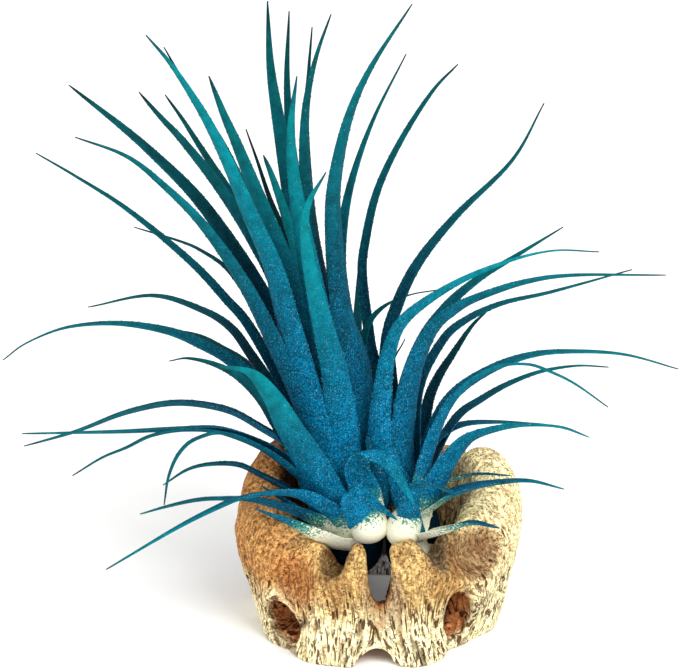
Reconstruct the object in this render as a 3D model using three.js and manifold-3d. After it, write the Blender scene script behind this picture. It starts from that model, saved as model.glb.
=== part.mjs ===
// A sky plant with two heads of long pointed leaves, resting in a squat hollow ring of weathered wood.
// Sizes are in millimetres and angles in degrees. +Z is up, +X is to the right and -Y is the front.

import * as THREE from "three";
import { mergeVertices } from "three/addons/utils/BufferGeometryUtils.js";
import Module from "manifold-3d";

const wasm = await Module();
wasm.setup();

// Driving sizes of the wood ring. Angles run anticlockwise from +X, so -90 is the front.
const RING_SEGMENTS = 48;
const RING_LEVELS = [0, 0.22, 0.44, 0.66, 0.82, 0.94, 1];
const RING_INNER_RADIUS = 17;
const RING_MOUTH_FLARE = 1.6;
const RING_CREST = 1;
const RING_WAIST_LEVEL = 0.75;
const RING_FOOT_CURVE = 1.3;
const RING_RIM_DRAW = 3.2;
const RING_RIB_HEIGHTS = [0.35, 0.25];
const RING_WAVE_HEIGHTS = [0.5, 0.3];
// Angle, radius at the waist, radius at the foot and height of the wall.
const RING_OUTLINE = [
  [-180, 28.5, 22.8, 25.5],
  [-155, 28.2, 24.4, 27],
  [-135, 27.6, 26, 22.6],
  [-120, 27.2, 27.4, 21.6],
  [-103, 27, 27, 23],
  [-90, 25.8, 25.4, 22.4],
  [-75, 27, 26.8, 23.6],
  [-62, 27.2, 26.4, 23],
  [-52, 27.2, 23.6, 23],
  [-38, 27.8, 23.2, 24],
  [-15, 28.6, 24.6, 27],
  [0, 28.7, 25, 28.6],
  [20, 29.2, 24.8, 31],
  [38, 28.4, 24.9, 26.6],
  [47, 27.8, 25, 27.8],
  [62, 27.4, 25, 26.6],
  [90, 27.8, 24.6, 25.6],
  [120, 27.2, 25, 26],
  [150, 28.2, 24.4, 31],
  [166, 27.2, 23.6, 30.5],
];
// Holes through the wall: angle, height of the middle, width, height and lean.
const RING_HOLES = [
  [-90, 23.4, 4.8, 20, 4],
  [-135, 6.3, 12.2, 8.8, -10],
  [-51, 7.8, 8.6, 12.8, 14],
  [-91, 0, 8, 6.4, 0],
  [8, 13, 6.4, 11.6, 6],
  [48, 6.2, 7.6, 10.2, -10],
  [92, 14, 6.8, 12, 4],
  [132, 5.4, 8, 9.6, 12],
  [171, 13.6, 6.6, 11.4, -6],
];
// Dips in the rim and the wall that don't go through: angle, radius and height of the middle, width, height and
// depth along the radius.
const RING_DIPS = [
  [-88, 27.8, 13, 7, 15, 6],
  [-111, 22, 22.6, 5, 9.4, 14],
  [-127, 28.4, 18, 9, 14, 6],
  [-60, 22, 23.4, 5, 9.6, 13],
  [-43, 28.6, 21.6, 15, 12, 13],
  [76, 27.5, 27.4, 8, 8, 12],
  [-90, 16, 17, 4.4, 12, 16],
];
const HOLE_DEPTH = 17;
const BALL_SEGMENTS = [10, 8];

// Driving sizes of the leaves.
const BLADE_THICKNESS = 0.7;
const BLADE_TIP_HALF_WIDTH = 0.34;
const CHANNEL_DEPTH = 0.34;
const SHEATH_DEPTH = 0.3;
const SHEATH_SHARE = 0.25;
const LEAF_ARCH = 0.05;
const STATION_SPACING = 13;
const MOST_STATIONS = 8;
const LEAST_STATIONS = 5;

// The plant is drawn as it is seen from the front, a little from above. The zero line of the drawing lies just
// below the middle of the ring's foot.
const SIGHT_ELEVATION = 22;
const SIGHT_DISTANCE = 900;
const SIGHT_AIM = { across: -7.4, up: 56.3 };
const SIGHT_ZERO = 1.2;

// Each head: the middle of its crown, the lean of its axis to the right and to the back, and the size of its stem.
// The front shoot is a small one at the foot of the main head.
const MAIN_HEAD = { crown: [-5.2, -7.6, 20.5], lean: [-0.32, 0.2], stemRadius: 6.2, stemHeight: 17 };
const FRONT_SHOOT = { crown: [-1.8, -12, 22], lean: [-0.1, 0], stemRadius: 2.4, stemHeight: 8 };
const SIDE_HEAD = { crown: [7, -8.4, 20], lean: [0.36, 0.12], stemRadius: 5, stemHeight: 15 };

// The swollen bases of the front leaves: the middle, the radius and the height.
const MAIN_BULB = [[-1.6, -14.2, 25.1], 3.1, 6.6];
const SIDE_BULB = [[4.9, -13.8, 25.9], 2.8, 6.6];

// Where a leaf is rooted, for the innermost leaves and for the outermost: its height above the middle of the crown
// as a share of the stem's height, and its distance from the axis as a share of the stem's radius.
const ROOT_HEIGHTS = [0.18, -0.08];
const ROOT_RADII = [0.2, 0.62];

// Each leaf: the side of the crown that it grows from (an angle), how far back its tip lies (Y), its width at the
// base, how it narrows (the power of the share of its length that is left), and points along it as seen from the
// front, in millimetres across and up, from base to tip.
const MAIN_INNER = [
  [100, 14, 8, 0.85, [-10, 47], [-15.3, 75], [-19.4, 98], [-21.2, 110], [-21.8, 123]],
  [80, 21, 5.5, 0.85, [-9, 45], [-13, 70], [-16.6, 90], [-17.9, 106], [-17.5, 121]],
  [-100, -9, 8.5, 0.85, [-10, 50], [-15, 78], [-16.8, 90], [-17, 99], [-15.9, 108]],
  [60, 25, 4.5, 0.85, [-8, 45], [-12.5, 75], [-14.1, 97], [-13.6, 109], [-12.9, 117.8]],
  [-50, -1, 7.5, 0.85, [-7.5, 45], [-10.2, 60], [-13, 76], [-14.3, 90], [-14.4, 98], [-13.7, 105],
   [-11.9, 112.6], [-9.1, 120.4]],
  [-85, -19, 8.5, 0.9, [-6.4, 31], [-7.8, 45.8], [-11.6, 61.8], [-14.2, 75], [-13.8, 82], [-10.1, 88.8]],
  [130, 27, 4, 0.85, [-9, 46], [-17.2, 73], [-21.3, 83.5], [-23.8, 91], [-26.1, 97.4]],
  [-120, 12, 5, 0.5, [-9, 45], [-14.6, 68], [-18, 79.5], [-20.9, 88], [-22.6, 92.2]],
  [-115, -7, 7.5, 0.65, [-10, 42], [-17.1, 66.8], [-20.6, 76], [-24.2, 85], [-28.2, 95], [-30.4, 100],
   [-33.5, 108]],
  [-50, -4, 8.2, 0.85, [-3.2, 45.6], [-6.8, 60], [-8.6, 78], [-8.2, 88], [-5.5, 100], [-1, 110],
   [7.1, 122.4]],
  [60, 16, 7, 1.25, [-4.4, 40], [-6.3, 60], [-7.3, 70], [-6.5, 80], [-4.4, 89.2], [-0.4, 100],
   [5.9, 112.4]],
  [55, 26, 3.2, 0.5, [-0.4, 46], [-1.3, 55.2], [-2.8, 68], [-2.2, 75], [0.15, 85], [4.8, 95], [11.2, 105],
   [16.3, 110.4]],
];
const MAIN_MIDDLE = [
  [-125, -13, 8.6, 0.8, [-8.5, 25], [-12.4, 39.4], [-18, 60], [-20.8, 70], [-25.2, 80], [-29.4, 90],
   [-34.4, 100], [-40.8, 110], [-46.1, 116.2]],
  [150, 22, 6, 0.85, [-12, 45], [-17.5, 65], [-21.3, 75], [-26.1, 85], [-31, 95], [-37.4, 105],
   [-42.5, 113.8]],
  [150, 5, 7.4, 0.6, [-14, 45], [-19.8, 65.2], [-24.7, 75.2], [-31.1, 85.2], [-38.6, 94.8], [-43.2, 99.8],
   [-47.5, 104.8]],
  [150, 18, 6.5, 0.65, [-13, 45], [-19.5, 66], [-23.9, 75.2], [-28.1, 82.7], [-32.8, 90], [-36, 95],
   [-39, 99.7], [-42.3, 104.3]],
  [150, 11, 8, 0.65, [-13, 42], [-19.5, 57.2], [-24.7, 67.2], [-31.6, 77.8], [-37.2, 85], [-44.8, 92.5],
   [-51.1, 98], [-61.5, 106.2]],
  [-120, -10, 6.4, 0.85, [-13, 38], [-21.8, 57.5], [-27.5, 68.1], [-35, 78.6], [-42.5, 86.1], [-50, 92],
   [-60.3, 95.8]],
  [150, -2, 5, 0.85, [-12, 33], [-24.3, 56], [-30.3, 63.6], [-37.7, 71.4], [-50, 81.5], [-60, 87.9],
   [-68.1, 92.6]],
  [150, 24, 4.2, 0.85, [-11, 34], [-19, 51], [-23.8, 60.5], [-29.4, 69], [-35, 73.1], [-39.6, 75.1],
   [-48.5, 77.8]],
  [160, 15, 6.6, 0.75, [-12, 33], [-19.6, 44], [-25, 52], [-29.1, 57.6], [-35, 61.3], [-45, 64.2],
   [-57.7, 61.8]],
  [150, -12, 6.2, 0.85, [-13, 32], [-22.4, 44.4], [-29, 50.9], [-35, 54.3], [-42, 57.1], [-52, 58.6],
   [-62, 57.8], [-70, 54.7], [-74.7, 51.2]],
  [150, 22, 5.5, 0.85, [-12, 33], [-20.4, 44.8], [-26.2, 50.7], [-31, 53.8], [-36, 56.3], [-44, 57.7]],
  [-110, -15, 6, 0.85, [-12, 27], [-19, 37.4], [-22.9, 43.4], [-27.6, 47.9], [-32.7, 50.5], [-37.9, 51.6],
   [-41.5, 51]],
  [-118, -28, 11, 0.7, [-9.3, 21.6], [-13.6, 31], [-17.4, 37.5], [-21, 44], [-25.4, 48.8], [-32.3, 50.1]],
  [-60, -13, 8, 0.85, [-1, 21], [-1.4, 27], [-2.4, 32], [-3.6, 37]],
  [70, 12, 3.6, 0.85, [-3, 48], [-2.2, 57], [1, 61.6], [6.4, 64.2], [11.9, 65.2]],
];
const MAIN_OUTER = [
  [-172, 4, 8, 0.75, [-10, 25], [-16.6, 33.6], [-22.9, 37.9], [-30, 41.5], [-40, 42.8], [-50, 40.9],
   [-60, 37.1], [-70.5, 34]],
  [-162, -16, 8.5, 0.95, [-10, 24.5], [-15, 29.6], [-20, 33.3], [-25, 35.9], [-31.5, 37.7], [-40, 37.6],
   [-50, 37.1], [-60, 36.8], [-70.9, 36.5]],
  [-158, -19, 6, 0.85, [-11, 23.5], [-20, 32], [-30, 36.6], [-38, 37.4], [-45, 36.2], [-50, 33.8],
   [-55, 31.7], [-60.8, 28.1]],
  [-152, -24, 6, 0.85, [-10, 22.5], [-20, 31.8], [-29.6, 36.6], [-35.8, 35.7], [-39.4, 32.8], [-41.6, 28],
   [-42.5, 22.2]],
  [-175, -22, 7, 0.75, [-9, 20], [-17, 25.2], [-23.1, 28.4], [-27.6, 30.4], [-33.3, 30.5], [-38, 29.3],
   [-42.7, 26.2]],
  [-142, -25, 8.5, 0.85, [-8.1, 17], [-14.6, 20.6], [-24.3, 23.5], [-31, 23.8], [-36, 23.4], [-42, 22],
   [-47.3, 20.4]],
  [-125, -34, 8.5, 1.4, [-7.7, 19.2], [-14.5, 24.2], [-21, 24.9], [-27.1, 23.8], [-31, 22.3], [-40, 17.7],
   [-54.1, 9.3]],
  [-112, -25, 5, 0.85, [-5.4, 15], [-8.6, 15.8], [-12, 17.4], [-18.1, 19.8], [-24.1, 21.6]],
  [-128, -19, 5, 0.85, [-6.5, 16.4], [-10.9, 18], [-16, 21.7], [-22.9, 26]],
];
// Front leaves that fold over to the right. The first has its inner face rolled toward the front.
const FRONT_HOOKED = [
  [-84, -30, 6.4, 0.85, [-3.6, 20.4], [-5.4, 24], [-4.6, 26.6], [-1.4, 24.8], [3.7, 19.6]],
];
const FRONT_ARCHED = [
  [96, -27, 7.4, 0.85, [-2.4, 25], [-4, 29.6], [-2, 32.4], [2, 31], [5, 26.8], [7.6, 22.2]],
];
const HOOK_ROLL = 40;
const SIDE_INNER = [
  [-105, -15, 7.6, 1.7, [1.2, 33], [1, 43.2], [2.8, 54], [6.2, 60], [15, 66.1], [25, 70.5], [35, 73],
   [44.5, 72.8]],
  [30, 15, 7.4, 1.1, [2.6, 40], [2, 52], [3.4, 60], [7.9, 70], [15.8, 80], [27.1, 91.2], [33.5, 102.6]],
  [60, 20, 5.2, 1, [5, 38], [8.5, 53.2], [13.6, 61.4], [20, 67.2], [27.1, 71.6], [37.3, 77.8]],
  [-50, -12, 7.8, 0.95, [5, 30], [5.9, 42], [7.6, 50], [10.9, 57.2], [15.4, 61.2], [20, 63.7], [30, 67],
   [40, 68.3], [57.9, 68.2]],
  [25, 3, 6, 1.2, [8, 30], [8.4, 45], [13, 54.8], [17.6, 59.1], [25, 62.6], [35, 64.9], [51.1, 69.3]],
  [30, 14, 6, 0.85, [8.6, 30], [10.2, 42], [12.2, 47.5], [15.3, 52.5], [19, 58], [22.7, 61.6]],
  [110, 14, 4, 1.4, [2.8, 32], [2.7, 48.2], [5.7, 55.4]],
  [80, 12, 6, 0.8, [4, 30], [3.4, 44], [3.3, 54]],
];
const SIDE_OUTER = [
  [20, -7, 7, 1.1, [8.4, 27], [11.6, 38], [15.9, 44.7], [23.5, 49.7], [31.5, 52.4], [40, 53], [50, 52.3],
   [60.4, 49.4]],
  [-40, -17, 6.5, 1.2, [9, 27], [12.4, 38.4], [17, 45.4], [23.8, 49.8], [30, 50.5], [35.1, 48.8],
   [40, 46.3], [46.3, 41.8]],
  [15, 13, 6.2, 1.1, [9.4, 25.5], [12.5, 34], [16.4, 40.2], [20.9, 43.4], [26.1, 46.4], [32.6, 48.9],
   [40, 50.1], [46.4, 49.8]],
  [-50, -13, 9, 1, [8.6, 20.6], [12.6, 28], [15.4, 32.4], [18.6, 35.7], [24, 37.6], [30, 38.4],
   [36.8, 37.9], [42.5, 35.8]],
  [10, 8, 7.5, 1.1, [6.6, 25], [9.8, 32.4], [13.2, 36.4], [17.5, 38.5], [24, 38.9], [33.7, 38.4]],
  [-8, -20, 10, 1.1, [8, 19.3], [13.2, 23.8], [18.3, 25.9], [25, 27], [31, 27.1], [37.5, 25.4]],
  [-72, -27, 9, 1, [6.5, 22], [9.5, 26.8], [16.5, 24.4]],
  [-25, -8, 7, 1.2, [8.6, 21.6], [13.5, 26.6], [19.6, 28.5], [26.7, 28.1]],
  [-25, -25, 7.4, 0.75, [6.8, 16.4], [10, 17.3], [14.4, 18.5], [17.5, 19.4], [20.5, 19.4], [24.6, 18.2]],
];

// Leaves hidden behind the others, spread by a seeded rule. The spans are of the tip as seen and of how far back.
const MAIN_HIDDEN = { count: 10, across: [-20, -2], up: [42, 80], back: [30, 46], wide: 5.8, seed: 11 };
const SIDE_HIDDEN = { count: 6, across: [3, 12], up: [38, 47], back: [20, 38], wide: 4.8, seed: 29 };
const HIDDEN_RISE = [17, 7];
const HIDDEN_TAPER = 0.85;
const HIDDEN_KNOTS = [
  { share: 0.34, lift: 0.8 },
  { share: 0.7, lift: 0.9 },
];
const HIDDEN_SPREAD = 0.618;
const HIDDEN_JITTER = 5;
const HIDDEN_WIDTHS = [0.85, 1.15];

const UP = new THREE.Vector3(0, 0, 1);
const radians = THREE.MathUtils.degToRad;
const wave = (degrees) => Math.sin(radians(degrees));

// A closed three.js geometry as a solid.
function solid(geometry) {
  const bare = new THREE.BufferGeometry();
  bare.setAttribute("position", geometry.getAttribute("position"));
  bare.setIndex(geometry.index);
  const merged = mergeVertices(bare, 1e-4);
  return new wasm.Manifold(
    new wasm.Mesh({
      numProp: 3,
      vertProperties: new Float32Array(merged.attributes.position.array),
      triVerts: new Uint32Array(merged.index.array),
    }),
  );
}

// A solid as a named three.js mesh.
function named(name, body, material) {
  const { numProp, vertProperties, triVerts } = body.getMesh();
  const positions = new Float32Array((vertProperties.length / numProp) * 3);
  for (let i = 0; i < positions.length / 3; i++) {
    positions.set(vertProperties.subarray(i * numProp, i * numProp + 3), i * 3);
  }
  const geometry = new THREE.BufferGeometry();
  geometry.setAttribute("position", new THREE.BufferAttribute(positions, 3));
  geometry.setIndex(new THREE.BufferAttribute(new Uint32Array(triVerts), 1));
  geometry.computeVertexNormals();
  const mesh = new THREE.Mesh(geometry, material);
  mesh.name = name;
  return mesh;
}

// The rows of the ring's outline, blended smoothly round the ring. column picks which of the values to give.
function outlineAt(angle, column) {
  const turned = ((((angle + 180) % 360) + 360) % 360) - 180;
  let next = RING_OUTLINE.findIndex((row) => row[0] > turned);
  if (next < 0) next = 0;
  const before = RING_OUTLINE[(next + RING_OUTLINE.length - 1) % RING_OUTLINE.length];
  const after = RING_OUTLINE[next];
  const span = (after[0] - before[0] + 360) % 360;
  const share = THREE.MathUtils.smoothstep((turned - before[0] + 360) % 360, 0, span);
  return THREE.MathUtils.lerp(before[column], after[column], share);
}

// The outer radius bulges at the waist, draws in at the foot and rounds over at the rim, with shallow ribs.
function outerRadius(angle, level) {
  const waist = outlineAt(angle, 1);
  const foot = outlineAt(angle, 2);
  const below = Math.max(0, 1 - level / RING_WAIST_LEVEL);
  const above = Math.max(0, (level - RING_WAIST_LEVEL) / (1 - RING_WAIST_LEVEL));
  const [wide, narrow] = RING_RIB_HEIGHTS;
  const ribs = wide * wave(angle * 9 + level * 120) + narrow * wave(angle * 14 - level * 90);
  return THREE.MathUtils.lerp(waist, foot, below ** RING_FOOT_CURVE) - RING_RIM_DRAW * above ** 2 + ribs;
}

// The inner wall is nearly straight, a little wavy and flares at the mouth.
function innerRadius(angle, level) {
  const [wide, narrow] = RING_WAVE_HEIGHTS;
  const waves = wide * wave(angle * 3 + 40) + narrow * wave(angle * 7 + level * 60);
  return RING_INNER_RADIUS + RING_MOUTH_FLARE * level ** 5 + waves;
}

// The ring before its holes: a closed turned band whose points are moved out to the outline.
function ringBand() {
  const profile = [];
  for (const level of RING_LEVELS) profile.push(new THREE.Vector2(2, level));
  profile.push(new THREE.Vector2(1.5, 1));
  for (const level of RING_LEVELS.toReversed()) profile.push(new THREE.Vector2(1, level));
  profile.push(new THREE.Vector2(2, 0));
  const band = new THREE.LatheGeometry(profile, RING_SEGMENTS).rotateX(Math.PI / 2);
  const points = band.attributes.position;
  const p = new THREE.Vector3();
  for (let i = 0; i < points.count; i++) {
    p.fromBufferAttribute(points, i);
    const angle = THREE.MathUtils.radToDeg(Math.atan2(p.y, p.x));
    const through = Math.hypot(p.x, p.y) - 1;
    const level = p.z;
    const radius = THREE.MathUtils.lerp(innerRadius(angle, level), outerRadius(angle, level), through);
    const crest = RING_CREST * Math.sin(Math.PI * through) * level ** 6;
    const height = level * outlineAt(angle, 3) + crest;
    points.setXYZ(i, radius * Math.cos(radians(angle)), radius * Math.sin(radians(angle)), height);
  }
  return solid(band);
}

// A stretched ball set in the wall, with its long axis along the radius.
function wallCutter(angle, radius, height, width, tall, deep, lean) {
  const ball = new THREE.SphereGeometry(0.5, ...BALL_SEGMENTS).scale(deep, width, tall);
  ball.rotateX(radians(lean)).translate(radius, 0, height).rotateZ(radians(angle));
  return solid(ball);
}

function woodRing() {
  let ring = ringBand();
  for (const [angle, height, width, tall, lean] of RING_HOLES) {
    const middle = (innerRadius(angle, 0.5) + outerRadius(angle, 0.5)) / 2;
    ring = ring.subtract(wallCutter(angle, middle, height, width, tall, HOLE_DEPTH, lean));
  }
  for (const [angle, radius, height, width, tall, deep] of RING_DIPS) {
    ring = ring.subtract(wallCutter(angle, radius, height, width, tall, deep, 0));
  }
  return ring;
}

// Turns a point as seen from the front, on the plane Y = back, into a point in space.
function placed(across, up, back) {
  const sine = Math.sin(radians(SIGHT_ELEVATION));
  const cosine = Math.cos(radians(SIGHT_ELEVATION));
  const right = across - SIGHT_AIM.across;
  const above = up - SIGHT_AIM.up;
  const aimY = (SIGHT_AIM.up - SIGHT_ZERO) * sine;
  const aimZ = (SIGHT_AIM.up - SIGHT_ZERO) * cosine;
  const near = (aimY + above * sine - back) / (cosine + (above * sine) / SIGHT_DISTANCE);
  const shrink = 1 - near / SIGHT_DISTANCE;
  return new THREE.Vector3(
    SIGHT_AIM.across + right * shrink,
    back,
    aimZ + above * cosine * shrink + near * sine,
  );
}

// How a point in space is seen from the front: the opposite of placed.
function seen(point) {
  const sine = Math.sin(radians(SIGHT_ELEVATION));
  const cosine = Math.cos(radians(SIGHT_ELEVATION));
  const near = -point.y * cosine + point.z * sine;
  const grow = SIGHT_DISTANCE / (SIGHT_DISTANCE - near);
  const up = point.y * sine + point.z * cosine + SIGHT_ZERO;
  return [
    SIGHT_AIM.across + (point.x - SIGHT_AIM.across) * grow,
    SIGHT_AIM.up + (up - SIGHT_AIM.up) * grow,
  ];
}

// The direction of a head's stem.
function axisOf(head) {
  return new THREE.Vector3(head.lean[0], head.lean[1], 1).normalize();
}

// The line along the middle of a leaf. ring is 0 for the innermost leaves, which grow highest on the stem,
// and 1 for the outermost.
function leafSpine(head, ring, [side, back, , , ...points]) {
  const outward = new THREE.Vector3(Math.cos(radians(side)), Math.sin(radians(side)), 0);
  const root = new THREE.Vector3(...head.crown)
    .addScaledVector(axisOf(head), head.stemHeight * THREE.MathUtils.lerp(...ROOT_HEIGHTS, ring))
    .addScaledVector(outward, head.stemRadius * THREE.MathUtils.lerp(...ROOT_RADII, ring));
  const drawn = [seen(root), ...points];
  const along = [0];
  for (let i = 1; i < drawn.length; i++) {
    along.push(along[i - 1] + Math.hypot(drawn[i][0] - drawn[i - 1][0], drawn[i][1] - drawn[i - 1][1]));
  }
  const length = along.at(-1);
  const spine = drawn.map(([across, up], i) => {
    const t = along[i] / length;
    const arch = LEAF_ARCH * length * outward.y * Math.sin(Math.PI * t);
    return placed(across, up, THREE.MathUtils.lerp(root.y, back, t) + arch);
  });
  return { curve: new THREE.CatmullRomCurve3(spine, false, "catmullrom", 0.5), outward };
}

// A closed blade along a curve: a bent strip of even thickness, channelled on its inner side, that narrows to a
// needle. roll turns it about its own line, most at mid length. Both faces are split into triangles alike.
function bladeGeometry(curve, outward, axis, baseWidth, taper, roll) {
  const stations = THREE.MathUtils.clamp(
    Math.round(curve.getLength() / STATION_SPACING) + 1,
    LEAST_STATIONS,
    MOST_STATIONS,
  );
  const sideways = new THREE.Vector3().crossVectors(outward, axis);
  const positions = [];
  const indices = [];
  for (let k = 0; k < stations; k++) {
    const t = k / (stations - 1);
    const centre = curve.getPointAt(t);
    const tangent = curve.getTangentAt(t);
    const across = sideways.clone().addScaledVector(tangent, -sideways.dot(tangent)).normalize();
    across.applyAxisAngle(tangent, radians(roll) * Math.sin(Math.PI * t));
    const inward = new THREE.Vector3().crossVectors(across, tangent);
    const half = BLADE_TIP_HALF_WIDTH + (baseWidth / 2) * (1 - t) ** taper;
    const lift = half * (CHANNEL_DEPTH + SHEATH_DEPTH * Math.max(0, 1 - t / SHEATH_SHARE));
    const keel = -(lift + BLADE_THICKNESS) / 2;
    const section = [
      [-half, keel + lift],
      [0, keel],
      [half, keel + lift],
      [half, keel + lift + BLADE_THICKNESS],
      [0, keel + BLADE_THICKNESS],
      [-half, keel + lift + BLADE_THICKNESS],
    ];
    for (const [sideStep, inStep] of section) {
      const point = centre.clone().addScaledVector(across, sideStep).addScaledVector(inward, inStep);
      positions.push(point.x, point.y, point.z);
    }
  }
  for (let k = 0; k < stations - 1; k++) {
    for (let j = 0; j < 6; j++) {
      const a = k * 6 + j;
      const b = k * 6 + ((j + 1) % 6);
      const c = b + 6;
      const d = a + 6;
      if (j < 3) indices.push(a, c, b, a, d, c);
      else indices.push(a, d, b, b, d, c);
    }
  }
  const last = (stations - 1) * 6;
  for (const [a, b, c, d] of [[0, 1, 4, 5], [1, 2, 3, 4]]) {
    indices.push(a, b, c, a, c, d);
    indices.push(last + a, last + c, last + b, last + a, last + d, last + c);
  }
  const geometry = new THREE.BufferGeometry();
  geometry.setAttribute("position", new THREE.Float32BufferAttribute(positions, 3));
  geometry.setIndex(indices);
  return geometry;
}

function leafSolid(head, ring, leaf, roll = 0) {
  const { curve, outward } = leafSpine(head, ring, leaf);
  return solid(bladeGeometry(curve, outward, axisOf(head), leaf[2], leaf[3], roll));
}

// A small repeatable generator of numbers from 0 to 1.
function seeded(seed) {
  let state = seed;
  return () => {
    state = (state * 16807) % 2147483647;
    return state / 2147483647;
  };
}

// Leaves at the back of a head, which the front view hides: their tips spread evenly back and up.
function hiddenLeaves(head, { count, across, up, back, wide, seed }) {
  const draw = seeded(seed);
  const crown = new THREE.Vector3(...head.crown);
  const leaves = [];
  for (let i = 0; i < count; i++) {
    const share = (i + 0.5) / count;
    const tipAcross = THREE.MathUtils.lerp(...across, (i * HIDDEN_SPREAD) % 1);
    const tipUp = THREE.MathUtils.lerp(...up, share);
    const tipBack = THREE.MathUtils.lerp(back[1], back[0], share) + HIDDEN_JITTER * (draw() - 0.5);
    const tip = placed(tipAcross, tipUp, tipBack);
    const rise = THREE.MathUtils.lerp(...HIDDEN_RISE, share);
    const knots = HIDDEN_KNOTS.map((knot) =>
      seen(crown.clone().lerp(tip, knot.share).addScaledVector(UP, knot.lift * rise)),
    );
    const side = THREE.MathUtils.radToDeg(Math.atan2(tip.y - crown.y, tip.x - crown.x));
    const width = wide * THREE.MathUtils.lerp(...HIDDEN_WIDTHS, draw());
    leaves.push([side, tipBack, width, HIDDEN_TAPER, ...knots, [tipAcross, tipUp]]);
  }
  return leaves;
}

// A stretched ball, standing along a direction.
function standingBall(middle, direction, radius, height) {
  const ball = new THREE.SphereGeometry(0.5, ...BALL_SEGMENTS).rotateX(Math.PI / 2);
  ball.scale(radius * 2, radius * 2, height);
  ball.applyQuaternion(new THREE.Quaternion().setFromUnitVectors(UP, direction)).translate(...middle);
  return solid(ball);
}

// The short thick stem that the leaves of a head grow from, hidden among their bases.
function stem(head) {
  return standingBall(head.crown, axisOf(head), head.stemRadius, head.stemHeight);
}

// A fused body with the small hollows that its leaves close between them filled.
function filled(body) {
  const pieces = body.decompose().sort((a, b) => b.volume() - a.volume());
  return pieces[0];
}

function rosette([middle, radius, height], rings) {
  let body = standingBall(middle, axisOf(rings[0][0]), radius, height);
  for (const [head, ring, leaves, roll] of rings) {
    body = body.add(stem(head));
    for (const leaf of leaves) body = body.add(leafSolid(head, ring, leaf, roll));
  }
  return filled(body);
}

const leafMaterial = new THREE.MeshStandardMaterial({ color: 0x0a6f86, roughness: 0.75, metalness: 0 });
const woodMaterial = new THREE.MeshStandardMaterial({ color: 0xc79a5c, roughness: 0.9, metalness: 0 });

// Rings of leaves: the head they grow on, 0 for innermost to 1 for outermost, the leaves and their roll.
const mainRings = [
  [MAIN_HEAD, 0, MAIN_INNER],
  [MAIN_HEAD, 0.5, MAIN_MIDDLE],
  [MAIN_HEAD, 0.5, hiddenLeaves(MAIN_HEAD, MAIN_HIDDEN)],
  [MAIN_HEAD, 1, MAIN_OUTER],
  [FRONT_SHOOT, 0.2, FRONT_HOOKED, HOOK_ROLL],
  [FRONT_SHOOT, 0.2, FRONT_ARCHED],
];
const sideRings = [
  [SIDE_HEAD, 0, SIDE_INNER],
  [SIDE_HEAD, 0.6, hiddenLeaves(SIDE_HEAD, SIDE_HIDDEN)],
  [SIDE_HEAD, 1, SIDE_OUTER],
];

const standing = new THREE.Group();
standing.add(named("wood_holder", woodRing(), woodMaterial));
standing.add(named("main_rosette", rosette(MAIN_BULB, mainRings), leafMaterial));
standing.add(named("side_rosette", rosette(SIDE_BULB, sideRings), leafMaterial));

// The origin is at the middle of the bottom of the whole object's box.
const box = new THREE.Box3().setFromObject(standing);
const middle = box.getCenter(new THREE.Vector3());
standing.position.set(-middle.x, -middle.y, -box.min.z);

const skyPlant = new THREE.Group();
skyPlant.add(standing);

export default skyPlant;
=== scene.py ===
# %% [markdown]
# # A sky plant in a ring of weathered cactus wood
#
# The real thing is an air plant with two heads of long, channelled, needle-tipped leaves. It sits without
# soil in a sawn slice of cactus wood, a squat hollow ring with oval holes. This file dresses the packed
# model of it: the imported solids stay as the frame, and each one is replaced by a finer surface that follows
# the same plan.
#
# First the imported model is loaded. It fixes the size and the place of all that follows.

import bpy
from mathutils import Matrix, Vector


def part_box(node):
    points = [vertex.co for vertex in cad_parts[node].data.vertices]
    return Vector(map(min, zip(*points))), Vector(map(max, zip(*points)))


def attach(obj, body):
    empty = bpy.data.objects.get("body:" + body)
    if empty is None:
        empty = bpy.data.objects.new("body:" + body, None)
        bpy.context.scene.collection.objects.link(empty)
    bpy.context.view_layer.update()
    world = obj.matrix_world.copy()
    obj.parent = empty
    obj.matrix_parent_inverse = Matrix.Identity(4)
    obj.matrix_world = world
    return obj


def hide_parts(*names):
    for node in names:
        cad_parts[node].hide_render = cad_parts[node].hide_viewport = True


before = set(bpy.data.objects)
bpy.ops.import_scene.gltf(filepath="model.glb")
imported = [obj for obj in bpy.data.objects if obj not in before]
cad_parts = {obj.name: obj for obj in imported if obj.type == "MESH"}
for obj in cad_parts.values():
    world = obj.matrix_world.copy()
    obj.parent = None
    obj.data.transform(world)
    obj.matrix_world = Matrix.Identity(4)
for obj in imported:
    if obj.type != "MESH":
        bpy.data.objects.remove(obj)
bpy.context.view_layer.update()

# %% [markdown]
# ## Units, directions and the view
#
# All sizes below are in millimetres and are turned to metres once, when a surface becomes a mesh. The plan
# of the plant is drawn as it is seen from the front and a little above, so a point of the plan has a place
# across, a height on the picture and a depth. The camera stands exactly where that view is taken from.

# %% Units and the line of sight
import math

import bpy
import numpy as np

MM = 0.001
IMAGE_WIDTH = 679
IMAGE_PIXELS_PER_MM = 5
SENSOR_WIDTH = 36

# The view: how far it looks down, the camera's distance from the point aimed at, where that point lies
# across and up in the front view, and how high the middle of the ring's foot lies there.
SIGHT_ELEVATION = math.radians(22)
SIGHT_DISTANCE = 900
SIGHT_AIM_ACROSS = -7.4
SIGHT_AIM_UP = 56.3
SIGHT_ZERO = 1.2

sine, cosine = math.sin(SIGHT_ELEVATION), math.cos(SIGHT_ELEVATION)
AIM = np.array([SIGHT_AIM_ACROSS, (SIGHT_AIM_UP - SIGHT_ZERO) * sine, (SIGHT_AIM_UP - SIGHT_ZERO) * cosine])


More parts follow.
